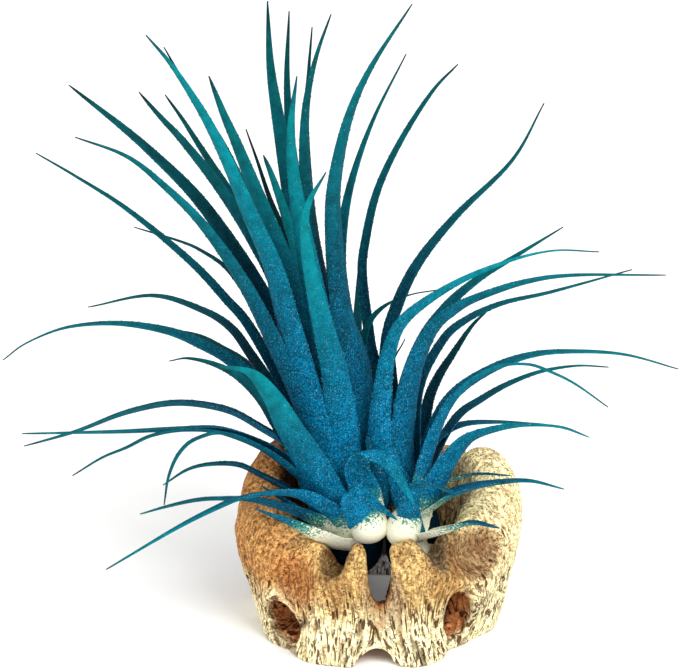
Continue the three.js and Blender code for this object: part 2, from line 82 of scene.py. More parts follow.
def placed(across, up, back):
    """The place in space of a point of the front view: where its sight line meets the plane Y = back."""
    right = across - SIGHT_AIM_ACROSS
    above = up - SIGHT_AIM_UP
    near = (AIM[1] + above * sine - back) / (cosine + above * sine / SIGHT_DISTANCE)
    shrink = 1 - near / SIGHT_DISTANCE
    height = AIM[2] + above * cosine * shrink + near * sine
    return np.array([SIGHT_AIM_ACROSS + right * shrink, back, height])


def seen(point):
    """Where the front view shows a point in space: the opposite of placed."""
    near = -point[1] * cosine + point[2] * sine
    grow = SIGHT_DISTANCE / (SIGHT_DISTANCE - near)
    up = point[1] * sine + point[2] * cosine + SIGHT_ZERO
    across = SIGHT_AIM_ACROSS + (point[0] - SIGHT_AIM_ACROSS) * grow
    return across, SIGHT_AIM_UP + (up - SIGHT_AIM_UP) * grow


# %% [markdown]
# ## The plan of the wood ring
#
# Cactus wood is the skeleton of a dead cactus: a tube of woody fibres that part round oval holes. The
# ring's plan is a list of rows round the wall, each with the radius at the waist, the radius at the foot
# and the height. The rows are blended smoothly, so the outer radius is one function of the angle and of the
# level up the wall.

# %% The ring's outline
# Angle (anticlockwise from +X, so -90 is the front), radius at the waist, radius at the foot, wall height.
RING_OUTLINE = np.array([
    [-180, 28.5, 22.8, 25.5],
    [-155, 28.2, 24.4, 27],
    [-135, 27.6, 26, 22.6],
    [-120, 27.2, 27.4, 21.6],
    [-103, 27, 27, 23],
    [-90, 25.8, 25.4, 22.4],
    [-75, 27, 26.8, 23.6],
    [-62, 27.2, 26.4, 23],
    [-52, 27.2, 23.6, 23],
    [-38, 27.8, 23.2, 24],
    [-15, 28.6, 24.6, 27],
    [0, 28.7, 25, 28.6],
    [20, 29.2, 24.8, 31],
    [38, 28.4, 24.9, 26.6],
    [47, 27.8, 25, 27.8],
    [62, 27.4, 25, 26.6],
    [90, 27.8, 24.6, 25.6],
    [120, 27.2, 25, 26],
    [150, 28.2, 24.4, 31],
    [166, 27.2, 23.6, 30.5],
])
# Holes through the wall: angle, height of the middle, width, height and lean.
RING_HOLES = [
    [-90, 23.4, 4.8, 20, 4],
    [-135, 6.3, 12.2, 8.8, -10],
    [-51, 7.8, 8.6, 12.8, 14],
    [-91, 0, 8, 6.4, 0],
    [8, 13, 6.4, 11.6, 6],
    [48, 6.2, 7.6, 10.2, -10],
    [92, 14, 6.8, 12, 4],
    [132, 5.4, 8, 9.6, 12],
    [171, 13.6, 6.6, 11.4, -6],
]
# Dips that don't go through: angle, radius and height of the middle, width, height and depth.
RING_DIPS = [
    [-88, 27.8, 13, 7, 15, 6],
    [-111, 22, 22.6, 5, 9.4, 14],
    [-127, 28.4, 18, 9, 14, 6],
    [-60, 22, 23.4, 5, 9.6, 13],
    [-43, 28.6, 21.6, 15, 12, 13],
    [76, 27.5, 27.4, 8, 8, 12],
    [-90, 16, 17, 4.4, 12, 16],
]
# How far the holes reach along the radius, and the radius of the inner wall with its flare at the mouth.
HOLE_DEPTH = 17
RING_INNER_RADIUS = 17
RING_MOUTH_FLARE = 1.6
# The rim's crown, the level of the waist, how the wall curves in to the foot, and how far the rim draws in.
RING_CREST = 1
RING_WAIST_LEVEL = 0.75
RING_FOOT_CURVE = 1.3
RING_RIM_DRAW = 3.2
# Shallow waves on the two walls: height, number round the ring, and start and turn a level in degrees.
OUTER_RIBS = [(0.35, 9, 0, 120), (0.25, 14, 0, -90)]
INNER_WAVES = [(0.5, 3, 40, 0), (0.3, 7, 0, 60)]
print("the wood has", len(RING_HOLES), "openings through the wall and", len(RING_DIPS), "dips")


# %% The ring's radii
def outline_at(angle, column):
    """A column of the outline at any angle: a smooth step, 3s2 - 2s3, from each row to the next."""
    rows = np.vstack([RING_OUTLINE, RING_OUTLINE[0] + [360, 0, 0, 0]])
    turned = (angle + 180) % 360 - 180
    row = np.clip(np.searchsorted(rows[:, 0], turned, side="right") - 1, 0, len(RING_OUTLINE) - 1)
    share = (turned - rows[row, 0]) / (rows[row + 1, 0] - rows[row, 0])
    share = share * share * (3 - 2 * share)
    return rows[row, column] * (1 - share) + rows[row + 1, column] * share


def waves(angle, level, rows):
    """The sum of sine waves round a wall: height times sin(number x angle + start + turn x level)."""
    total = 0
    for high, number, start, turn in rows:
        total = total + high * np.sin(np.radians(angle * number + start + level * turn))
    return total


def outer_radius(angle, level):
    """Radius of the outer wall: waist and foot are blended by (1 - level / waist level) ** curve, the rim
    draws in by the square of the level above the waist, and two sine waves give shallow ribs."""
    below = np.maximum(0, 1 - level / RING_WAIST_LEVEL) ** RING_FOOT_CURVE
    above = np.maximum(0, (level - RING_WAIST_LEVEL) / (1 - RING_WAIST_LEVEL))
    waist = outline_at(angle, 1)
    foot = outline_at(angle, 2)
    return waist + (foot - waist) * below - RING_RIM_DRAW * above**2 + waves(angle, level, OUTER_RIBS)


def inner_radius(angle, level):
    """Radius of the inner wall: nearly straight, with low waves, and flared at the mouth by level ** 5."""
    return RING_INNER_RADIUS + RING_MOUTH_FLARE * level**5 + waves(angle, level, INNER_WAVES)


# %% The ring's place in the frame
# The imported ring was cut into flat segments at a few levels. The box of those points, set against the
# packed ring's box, tells where the middle of the ring stands in the frame.
PACKED_SEGMENT = 7.5
PACKED_LEVELS = [0, 0.22, 0.44, 0.66, 0.82, 0.94, 1]

angles, levels = np.meshgrid(np.arange(-180, 180, PACKED_SEGMENT), PACKED_LEVELS)
radii = outer_radius(angles, levels)
plan = np.stack([radii * np.cos(np.radians(angles)), radii * np.sin(np.radians(angles)), 0 * radii])
plan_middle = (plan.max(axis=(1, 2)) + plan.min(axis=(1, 2))) / 2
wood_low, wood_high = (np.array(corner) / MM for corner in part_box("wood_holder"))
RING_MIDDLE = (wood_low + wood_high) / 2 * [1, 1, 0] - plan_middle
print("middle of the ring at", RING_MIDDLE.round(3), "mm")

# %% The camera
# The camera looks at the aim point from the sight distance. The lens makes 5 pixels a millimetre there.
camera_data = bpy.data.cameras.new("front_view")
camera_data.sensor_width = SENSOR_WIDTH
camera_data.lens = SENSOR_WIDTH * SIGHT_DISTANCE / (IMAGE_WIDTH / IMAGE_PIXELS_PER_MM)
camera_data.clip_start = 0.05
camera = bpy.data.objects.new("front_view", camera_data)
camera.location = (RING_MIDDLE + AIM + SIGHT_DISTANCE * np.array([0, -cosine, sine])) * MM
camera.rotation_euler = (math.pi / 2 - SIGHT_ELEVATION, 0, 0)
bpy.context.scene.collection.objects.link(camera)
bpy.context.scene.camera = camera
print("lens", round(camera_data.lens, 1), "mm")

# %% [markdown]
# ## From arrays to meshes
#
# Every surface below is a numpy array of points. One function puts such an array into a mesh in metres,
# gives it its material and its attributes, and tells the frame which body it rides on and which packed
# solid it replaces.


# %% A mesh from arrays
def make_piece(name, points, faces, material, attributes, replaced=None):
    """A smooth-shaded object from points in millimetres about the ring's middle. attributes maps a name to
    one number or one vector for each point."""
    mesh = bpy.data.meshes.new(name)
    mesh.from_pydata((points + RING_MIDDLE) * MM, [], [face for block in faces for face in block.tolist()])
    for key, values in attributes.items():
        vector = values.ndim == 2
        layer = mesh.attributes.new(key, "FLOAT_VECTOR" if vector else "FLOAT", "POINT")
        layer.data.foreach_set("vector" if vector else "value", values.astype(np.float32).ravel())
    mesh.shade_smooth()
    mesh.materials.append(material)
    piece = bpy.data.objects.new(name, mesh)
    bpy.context.scene.collection.objects.link(piece)
    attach(piece, "root")
    if replaced:
        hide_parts(replaced)
    triangles = sum(len(block) * (block.shape[1] - 2) for block in faces)
    print(name, "has", len(points), "points and", triangles, "triangles")


# Large primes that scatter the cells of the noise.
CELL_PRIMES = (73856093, 19349663, 83492791)


def value_noise(points, seed=0):
    """Smooth noise from -1 to 1: each corner of a unit lattice gets a repeatable number from a hash, and
    the eight corners round a point are blended by smooth steps."""
    base = np.floor(points).astype(np.int64)
    share = points - base
    share = share * share * (3 - 2 * share)
    total = np.zeros(len(points))
    for corner in np.ndindex(2, 2, 2):
        mixed = ((base + corner) * CELL_PRIMES).sum(axis=1) + seed * 2654435
        mixed = (mixed ^ (mixed >> 13)) * 1274126177 & 0x7FFFFFFF
        mixed = (mixed ^ (mixed >> 15)) * 668265263 & 0x7FFFFFFF
        weight = np.prod(np.where(corner, share, 1 - share), axis=1)
        total += weight * (mixed / 0x3FFFFFFF - 1)
    return total


# %% [markdown]
# ## Materials
#
# Colours are given as sRGB hex values, as a colour picker shows them, and one function turns them to the
# linear values that the shader works in. Another adds a node with its settings, and fills its inputs with
# values and links.


# %% Colours and nodes
def linear(code, alpha=1):
    """An sRGB hex colour as linear light: ((c + 0.055) / 1.055) ** 2.4, or c / 12.92 where it is dark."""
    channels = [int(code[i : i + 2], 16) / 255 for i in (1, 3, 5)]
    return [c / 12.92 if c <= 0.04045 else ((c + 0.055) / 1.055) ** 2.4 for c in channels] + [alpha]


def give(tree, node, inputs):
    """Fills a node's inputs. Each gets a value, another node's output, or a node, which stands for the
    first output that it has in use."""
    for key, value in inputs.items():
        if isinstance(value, bpy.types.Node):
            value = next(output for output in value.outputs if output.enabled)
        if isinstance(value, bpy.types.NodeSocket):
            tree.links.new(value, node.inputs[key])
        else:
            node.inputs[key].default_value = value


def add(tree, kind, inputs=None, **settings):
    """A node of one kind in tree, with its settings and its inputs."""
    node = tree.nodes.new("ShaderNode" + kind)
    for key, value in settings.items():
        setattr(node, key, value)
    give(tree, node, inputs or {})
    return node


def new_material(name):
    """An empty node material: its tree, its shader and the material itself."""
    material = bpy.data.materials.new(name)
    material.use_nodes = True
    return material, material.node_tree, material.node_tree.nodes["Principled BSDF"]


def set_ramp(node, stops):
    """Sets a colour ramp's stops from pairs of place and linear colour."""
    ramp = node.color_ramp
    while len(ramp.elements) < len(stops):
        ramp.elements.new(0.5)
    for element, (place, colour) in zip(ramp.elements, stops):
        element.position = place
        element.color = colour


# %% [markdown]
# ## The leaf's skin
#
# Each leaf is covered in tiny cupped scales that drink from the air. They make the skin matt and velvety
# and give it a frosted speckle, and here the living green under them is tinted a strong teal blue. The
# sheaths at the base have no tint: they are white to cream, with green flecks where the tint begins. The
# material follows each leaf by attributes: how far along it a point is, how lit the leaf is painted among
# its neighbours, which is painted light and shade, how pale its base is, and whether the point lies in the
# channel, which is painted darker as shade.

# %% The leaf's tint
# How many features there are to a millimetre. Real scales are 0.1 to 0.2 mm wide, so the speckle and the
# grit are drawn two or three times as coarse, or they would not show. Flecks are about 0.5 mm wide.
SPECKLE_PER_MM = 2.5
GRIT_PER_MM = 3.4
MOTTLE_PER_MM = 0.5
FLECK_PER_MM = 2.2

leaf_skin, tree, shader = new_material("tinted_living_leaf")
place = add(tree, "TexCoord").outputs["Object"]
along, painted_light, pale, channel = (
    add(tree, "Attribute", attribute_name=name).outputs["Fac"]
    for name in ("along", "painted_light", "pale", "channel")
)

# Strong blue at the base, deeper over the middle, teal towards the tip, and a dry dark needle.
length_ramp = add(tree, "ValToRGB", {"Fac": along})
set_ramp(length_ramp, [
    (0.0, linear("#01709a")),
    (0.3, linear("#01658a")),
    (0.5, linear("#015c74")),
    (0.75, linear("#017580")),
    (0.93, linear("#017478")),
    (1.0, linear("#033a44")),
])
mottle = add(tree, "TexNoise", {"Vector": place, "Scale": MOTTLE_PER_MM / MM, "Detail": 3.0})
# Painted light and shade: each leaf is made lighter or darker by how lit it is painted.
painted_light_gain = add(tree, "MapRange", {"Value": painted_light, "To Min": 0.1, "To Max": 1.15})
uneven = add(tree, "MapRange", {"Value": mottle, "From Min": 0.3, "From Max": 0.7, "To Min": 0.72,
                                "To Max": 1.25})
# Painted shade: the concave channel face is made darker.
channel_shade = add(tree, "MapRange", {"Value": channel, "To Min": 1.0, "To Max": 0.72})
print("leaf tint has", len(length_ramp.color_ramp.elements), "colours along its length")

# %% The leaf's frost
# A grit of light and dark scales, and brighter single specks: the scales' own silvery colour and partly
# painted glints, stronger on leaves painted as lit. It thins out towards the tip.
frost = add(tree, "MapRange", {"Value": along, "From Min": 0.3, "From Max": 0.72, "To Min": 1.0,
                               "To Max": 0.1})
grit = add(tree, "TexNoise", {"Vector": place, "Scale": GRIT_PER_MM / MM, "Detail": 1.0})
grit_light = add(tree, "MapRange", {"Value": grit, "From Min": 0.36, "From Max": 0.64, "To Min": 0.4,
                                    "To Max": 1.6})
grit_here = add(tree, "Mix", {"Factor": frost, 2: 1.0, 3: grit_light}, data_type="FLOAT")
# The brightness is the leaf's painted light times its mottle, the channel's painted shade and the grit.
mottle_and_painted_light = painted_light_gain
for factor in (uneven, channel_shade, grit_here):
    mottle_and_painted_light = add(tree, "Math", {0: mottle_and_painted_light, 1: factor}, operation="MULTIPLY")
tinted = add(tree, "VectorMath", {0: length_ramp, "Scale": mottle_and_painted_light}, operation="SCALE")
specks = add(tree, "TexVoronoi", {"Vector": place, "Scale": SPECKLE_PER_MM / MM})
speck_and_glint = add(tree, "MapRange", {"Value": specks, "From Min": 0.4, "From Max": 0.12})
chance = add(tree, "SeparateColor", {"Color": specks.outputs["Color"]})
bright_few = add(tree, "MapRange", {"Value": chance, "From Min": 0.35, "From Max": 1.0, "To Max": 0.9})
for factor in (bright_few, frost, painted_light_gain):
    speck_and_glint = add(tree, "Math", {0: speck_and_glint, 1: factor}, operation="MULTIPLY", use_clamp=True)
speckled = add(tree, "Mix", {"Factor": speck_and_glint, 6: tinted, 7: linear("#62c6dc")}, data_type="RGBA")
print("one speck in", round(1 / SPECKLE_PER_MM, 2), "mm, one grain in", round(1 / GRIT_PER_MM, 2), "mm")

# %% The leaf's pale sheath
# Its edge is broken up into flecks, first of green and then of the tint. The green comes earlier on the
# channel face.
fleck = add(tree, "TexNoise", {"Vector": place, "Scale": FLECK_PER_MM / MM, "Detail": 3.0,
                               "Roughness": 0.65})
ragged = add(tree, "MapRange", {"Value": fleck, "From Min": 0.3, "From Max": 0.7, "To Min": -0.42,
                                "To Max": 0.42})
channel_loss = add(tree, "Math", {0: channel, 1: -0.3}, operation="MULTIPLY")
pale_edge = add(tree, "Math", {0: pale, 1: ragged})
pale_edge = add(tree, "Math", {0: pale_edge, 1: channel_loss})
white_mask = add(tree, "MapRange", {"Value": pale_edge, "From Min": 0.38, "From Max": 0.58})
sheath = add(tree, "Mix", {"Factor": fleck, 6: linear("#fbfcf2"), 7: linear("#e4e0b4")}, data_type="RGBA")
near_sheath = add(tree, "MapRange", {"Value": pale, "From Min": 0.03, "From Max": 0.2})
green_band = add(tree, "MapRange", {"Value": pale_edge, "From Min": -0.05, "From Max": 0.3, "To Max": 0.85})
green_mask = add(tree, "Math", {0: green_band, 1: near_sheath}, operation="MULTIPLY")
green = add(tree, "Mix", {"Factor": grit, 6: linear("#0d5c4c"), 7: linear("#4fae8c")}, data_type="RGBA")
with_green = add(tree, "Mix", {"Factor": green_mask, 6: speckled, 7: green}, data_type="RGBA")
skin = add(tree, "Mix", {"Factor": white_mask, 6: with_green, 7: sheath}, data_type="RGBA")
relief = add(tree, "Bump", {"Height": grit, "Strength": 0.8, "Distance": 0.12 * MM})
give(tree, shader, {"Base Color": skin, "Normal": relief})
give(tree, shader, {"Roughness": 0.75, "IOR": 1.42, "Specular IOR Level": 0.08})
print("leaf material has", len(tree.nodes), "nodes")

# %% [markdown]
# ## The leaves
#
# A leaf is a long strip, bent into a channel, that narrows to a needle. It could be drawn as a flat card,
# but from the side that would vanish. So each one is a closed shell: a crescent section carried along a
# smooth curve. The curves come from the plan: a row of the plan names the side of the crown that the leaf
# grows from, how far back its tip lies, its width at the base, how it narrows, how much of it is pale, how
# lit it is painted, as painted light and shade, and points along it from base to tip as the front view
# shows them.

# %% The plan of the two heads
# The middle of each crown, the lean of its axis to the right and to the back, and the size of its stem. The
# front shoot is a small one at the foot of the main head.
MAIN_HEAD = {"crown": [-5.2, -7.6, 20.5], "lean": [-0.32, 0.2], "stem_radius": 6.2, "stem_height": 17}
FRONT_SHOOT = {"crown": [-1.8, -12, 22], "lean": [-0.1, 0], "stem_radius": 2.4, "stem_height": 8}
SIDE_HEAD = {"crown": [7, -8.4, 20], "lean": [0.36, 0.12], "stem_radius": 5, "stem_height": 15}

# The swollen bases of the front leaves: the middle, the radius and the height.
MAIN_BULB = [(-1.65, -14.2, 25.2), 3.7, 7.4]
SIDE_BULB = [(5.3, -15.2, 25.7), 3.3, 9.4]
BULB_NARROWING = 0.16

# Where a leaf is rooted, for the innermost leaves and for the outermost: its height above the middle of the
# crown as a share of the stem's height, and its distance from the axis as a share of the stem's radius.
ROOT_HEIGHTS = (0.18, -0.08)
ROOT_RADII = (0.2, 0.62)

print("the main crown is at", MAIN_HEAD["crown"], "and the side crown at", SIDE_HEAD["crown"])

# %% The main head's leaves
# Side, back, width, taper, pale, painted light (how lit the leaf is painted, from dark in shade to fully
# lit), then points as across and up. The lists go from the innermost leaves to the outermost.
MAIN_INNER = [
    [100, 14, 8, 0.85, 0, 0.45, (-10, 47), (-15.3, 75), (-19.4, 98), (-21.2, 110), (-21.8, 123)],
    [80, 21, 5.5, 0.85, 0, 0.3, (-9, 45), (-13, 70), (-16.6, 90), (-17.9, 106), (-17.5, 121)],
    [-100, -9, 8.5, 0.85, 0, 0.75, (-10, 50), (-15, 78), (-16.8, 90), (-17, 99), (-15.9, 108)],
    [60, 25, 4.5, 0.85, 0, 0.2, (-8, 45), (-12.5, 75), (-14.1, 97), (-13.6, 109), (-12.9, 117.8)],
    [-50, -1, 7.5, 0.85, 0, 0.3, (-7.5, 45), (-10.2, 60), (-13, 76), (-14.3, 90), (-14.4, 98), (-13.7, 105),
     (-11.9, 112.6), (-9.1, 120.4)],
    [-85, -19, 8.5, 0.9, 0, 0.85, (-6.4, 31), (-7.8, 45.8), (-11.6, 61.8), (-14.2, 75), (-13.8, 82),
     (-10.1, 88.8)],
    [130, 27, 4, 0.85, 0, 0.05, (-9, 46), (-17.2, 73), (-21.3, 83.5), (-23.8, 91), (-26.1, 97.4)],
    [-120, 12, 5, 0.5, 0, 0.75, (-9, 45), (-14.6, 68), (-18, 79.5), (-20.9, 88), (-22.6, 92.2)],
    [-115, -7, 7.5, 0.65, 0, 0.5, (-10, 42), (-17.1, 66.8), (-20.6, 76), (-24.2, 85), (-28.2, 95),
     (-30.4, 100), (-33.5, 108)],
    [-50, -4, 8.2, 0.85, 0, 0.45, (-3.2, 45.6), (-6.8, 60), (-8.6, 78), (-8.2, 88), (-5.5, 100), (-1, 110),
     (7.1, 122.4)],
    [60, 16, 7, 1.25, 0, 0.5, (-4.4, 40), (-6.3, 60), (-7.3, 70), (-6.5, 80), (-4.4, 89.2), (-0.4, 100),
     (5.9, 112.4)],
    [55, 26, 3.2, 0.5, 0, 0.5, (-0.4, 46), (-1.3, 55.2), (-2.8, 68), (-2.2, 75), (0.15, 85), (4.8, 95),
     (11.2, 105), (16.3, 110.4)],
]
MAIN_MIDDLE = [
    [-125, -13, 8.6, 0.8, 0, 0.8, (-8.5, 25), (-12.4, 39.4), (-18, 60), (-20.8, 70), (-25.2, 80),
     (-29.4, 90), (-34.4, 100), (-40.8, 110), (-46.1, 116.2)],
    [150, 22, 6, 0.85, 0, 0.15, (-12, 45), (-17.5, 65), (-21.3, 75), (-26.1, 85), (-31, 95), (-37.4, 105),
     (-42.5, 113.8)],
    [150, 5, 7.4, 0.6, 0, 0.4, (-14, 45), (-19.8, 65.2), (-24.7, 75.2), (-31.1, 85.2), (-38.6, 94.8),
     (-43.2, 99.8), (-47.5, 104.8)],
    [150, 18, 6.5, 0.65, 0, 0.3, (-13, 45), (-19.5, 66), (-23.9, 75.2), (-28.1, 82.7), (-32.8, 90),
     (-36, 95), (-39, 99.7), (-42.3, 104.3)],
    [150, 11, 8, 0.65, 0, 0.4, (-13, 42), (-19.5, 57.2), (-24.7, 67.2), (-31.6, 77.8), (-37.2, 85),
     (-44.8, 92.5), (-51.1, 98), (-61.5, 106.2)],
    [-120, -10, 6.4, 0.85, 0, 0.5, (-13, 38), (-21.8, 57.5), (-27.5, 68.1), (-35, 78.6), (-42.5, 86.1),
     (-50, 92), (-60.3, 95.8)],
    [150, -2, 5, 0.85, 0, 0.45, (-12, 33), (-24.3, 56), (-30.3, 63.6), (-37.7, 71.4), (-50, 81.5),
     (-60, 87.9), (-68.1, 92.6)],
    [150, 24, 4.2, 0.85, 0, 0.35, (-11, 34), (-19, 51), (-23.8, 60.5), (-29.4, 69), (-35, 73.1),
     (-39.6, 75.1), (-48.5, 77.8)],
    [160, 15, 6.6, 0.75, 0, 0.45, (-12, 33), (-19.6, 44), (-25, 52), (-29.1, 57.6), (-35, 61.3),
     (-45, 64.2), (-57.7, 61.8)],
    [150, -12, 6.2, 0.85, 0, 0.55, (-13, 32), (-22.4, 44.4), (-29, 50.9), (-35, 54.3), (-42, 57.1),
     (-52, 58.6), (-62, 57.8), (-70, 54.7), (-74.7, 51.2)],
    [150, 22, 5.5, 0.85, 0, 0.35, (-12, 33), (-20.4, 44.8), (-26.2, 50.7), (-31, 53.8), (-36, 56.3),
     (-44, 57.7)],
    [-110, -15, 6, 0.85, 0, 0.25, (-12, 27), (-19, 37.4), (-22.9, 43.4), (-27.6, 47.9), (-32.7, 50.5),
     (-37.9, 51.6), (-41.5, 51)],
    [-118, -28, 11, 0.7, 0, 0.85, (-9.3, 21.6), (-13.6, 31), (-17.4, 37.5), (-21, 44), (-25.4, 48.8),
     (-32.3, 50.1)],
    [-60, -13, 9, 0.6, 0, 0.35, (-0.4, 21), (0.8, 26), (0.2, 31), (-2, 36)],
    [70, 12, 3.6, 0.85, 0, 0.4, (-3, 48), (-2.2, 57), (1, 61.6), (6.4, 64.2), (11.9, 65.2)],
]
MAIN_OUTER = [
    [-172, 4, 8, 0.75, 0.1, 0.6, (-10, 25), (-16.6, 33.6), (-22.9, 37.9), (-30, 41.5), (-40, 42.8),
     (-50, 40.9), (-60, 37.1), (-70.5, 34)],
    [-162, -16, 8.5, 0.95, 0.1, 0.65, (-10, 24.5), (-15, 29.6), (-20, 33.3), (-25, 35.9), (-31.5, 37.7),
     (-40, 37.6), (-50, 37.1), (-60, 36.8), (-70.9, 36.5)],
    [-158, -19, 6, 0.85, 0.1, 0.55, (-11, 23.5), (-20, 32), (-30, 36.6), (-38, 37.4), (-45, 36.2),
     (-50, 33.8), (-55, 31.7), (-60.8, 28.1)],
    [-152, -24, 6, 0.85, 0.15, 0.6, (-10, 22.5), (-20, 31.8), (-29.6, 36.6), (-35.8, 35.7), (-39.4, 32.8),
     (-41.6, 28), (-42.5, 22.2)],
    [-175, -22, 7, 0.75, 0.15, 0.5, (-9, 20), (-17, 25.2), (-23.1, 28.4), (-27.6, 30.4), (-33.3, 30.5),
     (-38, 29.3), (-42.7, 26.2)],
    [-142, -25, 8.5, 0.85, 0.2, 0.5, (-8.1, 17), (-14.6, 20.6), (-24.3, 23.5), (-31, 23.8), (-36, 23.4),
     (-42, 22), (-47.3, 20.4)],
    [-125, -34, 8.5, 1.4, 0.12, 0.85, (-7.7, 19.2), (-14.5, 24.2), (-21, 24.9), (-27.1, 23.8), (-31, 22.3),
     (-40, 17.7), (-54.1, 9.3)],
    [-112, -25, 7, 0.85, 0.6, 0.6, (-5, 14.3), (-8.6, 14.7), (-12, 16.3), (-18.1, 19.2), (-24.1, 21.4)],
    [-128, -19, 5, 0.85, 0.45, 0.5, (-6.5, 16.4), (-10.9, 18), (-16, 21.7), (-22.9, 26)],
]
print(len(MAIN_INNER) + len(MAIN_MIDDLE) + len(MAIN_OUTER), "leaves on the main head")

# %% The front shoot's leaves
# They fold over to the right. The first has its inner face rolled toward the front, by an angle in degrees.
FRONT_HOOKED = [
    [-84, -30, 6.4, 0.85, 0.1, 1, (-3.8, 20.4), (-5.6, 23.2), (-5, 25.4), (-2.2, 23.8), (1, 21.5),
     (4.1, 19.3)],
]
FRONT_ARCHED = [
    [96, -27, 7.8, 0.85, 0.25, 1, (-2.4, 25), (-4, 29.6), (-2, 32.4), (2, 31), (5, 26.8), (7.6, 22.2)],
]
HOOK_ROLL = 40
print(len(FRONT_HOOKED) + len(FRONT_ARCHED), "leaves on the front shoot")

# %% The side head's leaves
SIDE_INNER = [
    [-105, -15, 7.6, 1.7, 0, 0.85, (1.2, 33), (1, 43.2), (2.8, 54), (6.2, 60), (15, 66.1), (25, 70.5),
     (35, 73), (44.5, 72.8)],
    [30, 15, 7.4, 1.1, 0, 0.45, (2.6, 40), (2, 52), (3.4, 60), (7.9, 70), (15.8, 80), (27.1, 91.2),
     (33.5, 102.6)],
    [60, 20, 5.2, 1, 0, 0.5, (5, 38), (8.5, 53.2), (13.6, 61.4), (20, 67.2), (27.1, 71.6), (37.3, 77.8)],
    [-50, -12, 7.8, 0.95, 0, 0.6, (5, 30), (5.9, 42), (7.6, 50), (10.9, 57.2), (15.4, 61.2), (20, 63.7),
     (30, 67), (40, 68.3), (57.9, 68.2)],
    [25, 3, 6, 1.2, 0, 0.5, (8, 30), (8.4, 45), (13, 54.8), (17.6, 59.1), (25, 62.6), (35, 64.9),
     (51.1, 69.3)],
    [30, 14, 6, 0.85, 0, 0.25, (8.6, 30), (10.2, 42), (12.2, 47.5), (15.3, 52.5), (19, 58), (22.7, 61.6)],
    [110, 14, 4, 1.4, 0, 0.3, (2.8, 32), (2.7, 48.2), (5.7, 55.4)],
    [80, 12, 6, 0.8, 0, 0.15, (4, 30), (3.4, 44), (3.3, 54)],
]
SIDE_OUTER = [
    [20, -7, 7, 1.1, 0.17, 0.8, (8.4, 27), (11.6, 38), (15.9, 44.7), (23.5, 49.7), (31.5, 52.4), (40, 53),
     (50, 52.3), (60.4, 49.4)],
    [-40, -17, 6.5, 1.2, 0.2, 0.8, (9, 27), (12.4, 38.4), (17, 45.4), (23.8, 49.8), (30, 50.5),
     (35.1, 48.8), (40, 46.3), (46.3, 41.8)],
    [15, 13, 6.2, 1.1, 0.22, 0.6, (9.4, 25.5), (12.5, 34), (16.4, 40.2), (20.9, 43.4), (26.1, 46.4),
     (32.6, 48.9), (40, 50.1), (46.4, 49.8)],
    [-50, -13, 9, 1, 0.2, 0.85, (8.6, 20.6), (12.6, 28), (15.4, 32.4), (18.6, 35.7), (24, 37.6), (30, 38.4),
     (36.8, 37.9), (42.5, 35.8)],
    [10, 8, 7.5, 1.1, 0.26, 0.7, (6.6, 25), (9.8, 32.4), (13.2, 36.4), (17.5, 38.5), (24, 38.9),
     (33.7, 38.4)],
    [-8, -20, 10, 1.1, 0.36, 0.7, (8, 19.3), (13.2, 23.8), (18.3, 25.9), (25, 27), (31, 27.1),
     (37.5, 25.4)],
    [-72, -27, 5, 0.4, 0.1, 0.8, (6.5, 22), (9.5, 26.6), (16.5, 24.2)],
    [-25, -8, 7, 1.2, 0.6, 0.5, (8.6, 21.6), (13.5, 26.6), (19.6, 28.5), (26.7, 28.1)],
    [-25, -25, 10, 0.75, 0.7, 0.6, (6.8, 15.9), (10, 16.7), (14.4, 17.7), (17.5, 18.7), (20.5, 18.7),
     (24.6, 17.6)],
]
print(len(SIDE_INNER) + len(SIDE_OUTER), "leaves on the side head")

# %% The leaves that the others hide
# They are spread by a rule: spans of the tip's place across, up and back, and the width.
MAIN_HIDDEN = {"count": 10, "across": (-20, -2), "up": (42, 80), "back": (30, 46), "wide": 5.8, "seed": 11}
SIDE_HIDDEN = {"count": 6, "across": (3, 12), "up": (34, 44), "back": (20, 38), "wide": 4.8, "seed": 29}
# How high a hidden leaf rises over the straight line to its tip, for the first and the last, how it bends
# there as shares of the way with shares of the rise, and how far its tip strays to the back or the front.
HIDDEN_RISE = (17, 7)
HIDDEN_BENDS = [(0.34, 0.8), (0.7, 0.9)]
HIDDEN_STRAY = 5
HIDDEN_TAPER = 0.85
# How lit the hidden leaves are painted: low, as painted shade behind the others.
HIDDEN_PAINTED_LIGHT = 0.3
print(MAIN_HIDDEN["count"] + SIDE_HIDDEN["count"], "leaves hidden behind them")

# %% Sizes of a blade
# Rows along a blade, and steps in which its curve is measured.
BLADE_STATIONS = 64
CURVE_STEPS = 400
# Half the width of the needle's tip, and the thickness at the edge and at the base, there as a share of the
# width.
TIP_HALF_WIDTH = 0.12
THIN_EDGE = 0.2
THICK_BASE = 0.09
# How deep the channel is, and how much deeper at the sheath, as shares of half the width.
CHANNEL_DEPTH = 0.42
SHEATH_DEPTH = 0.3
# How far a leaf arches out over its straight line, as a share of its length on the picture.
LEAF_ARCH = 0.05
# From this length on, a leaf shows the whole run of colours. A shorter one stays bluer.
FULL_LENGTH = 55
# The pale sheath fades between these shares of the leaf's own pale length.
SHEATH_FADE = (0.2, 1.4)
# Places across a face from one edge to the other, closer together at the edges.
FACE_POINTS = 9
FACE_SPREAD = -np.cos(np.linspace(0, np.pi, FACE_POINTS))
# The two faces round the section: out along the back of the leaf and home along its channel.
SECTION_ACROSS = np.concatenate([FACE_SPREAD, FACE_SPREAD[-2:0:-1]])
SECTION_IS_CHANNEL = np.repeat([0.0, 1.0], [FACE_POINTS, FACE_POINTS - 2])
print("blade section has", len(SECTION_ACROSS), "points")


# %% Curves through the plan
def unit(vectors):
    """Each vector divided by its own length."""
    return vectors / np.linalg.norm(vectors, axis=-1, keepdims=True)


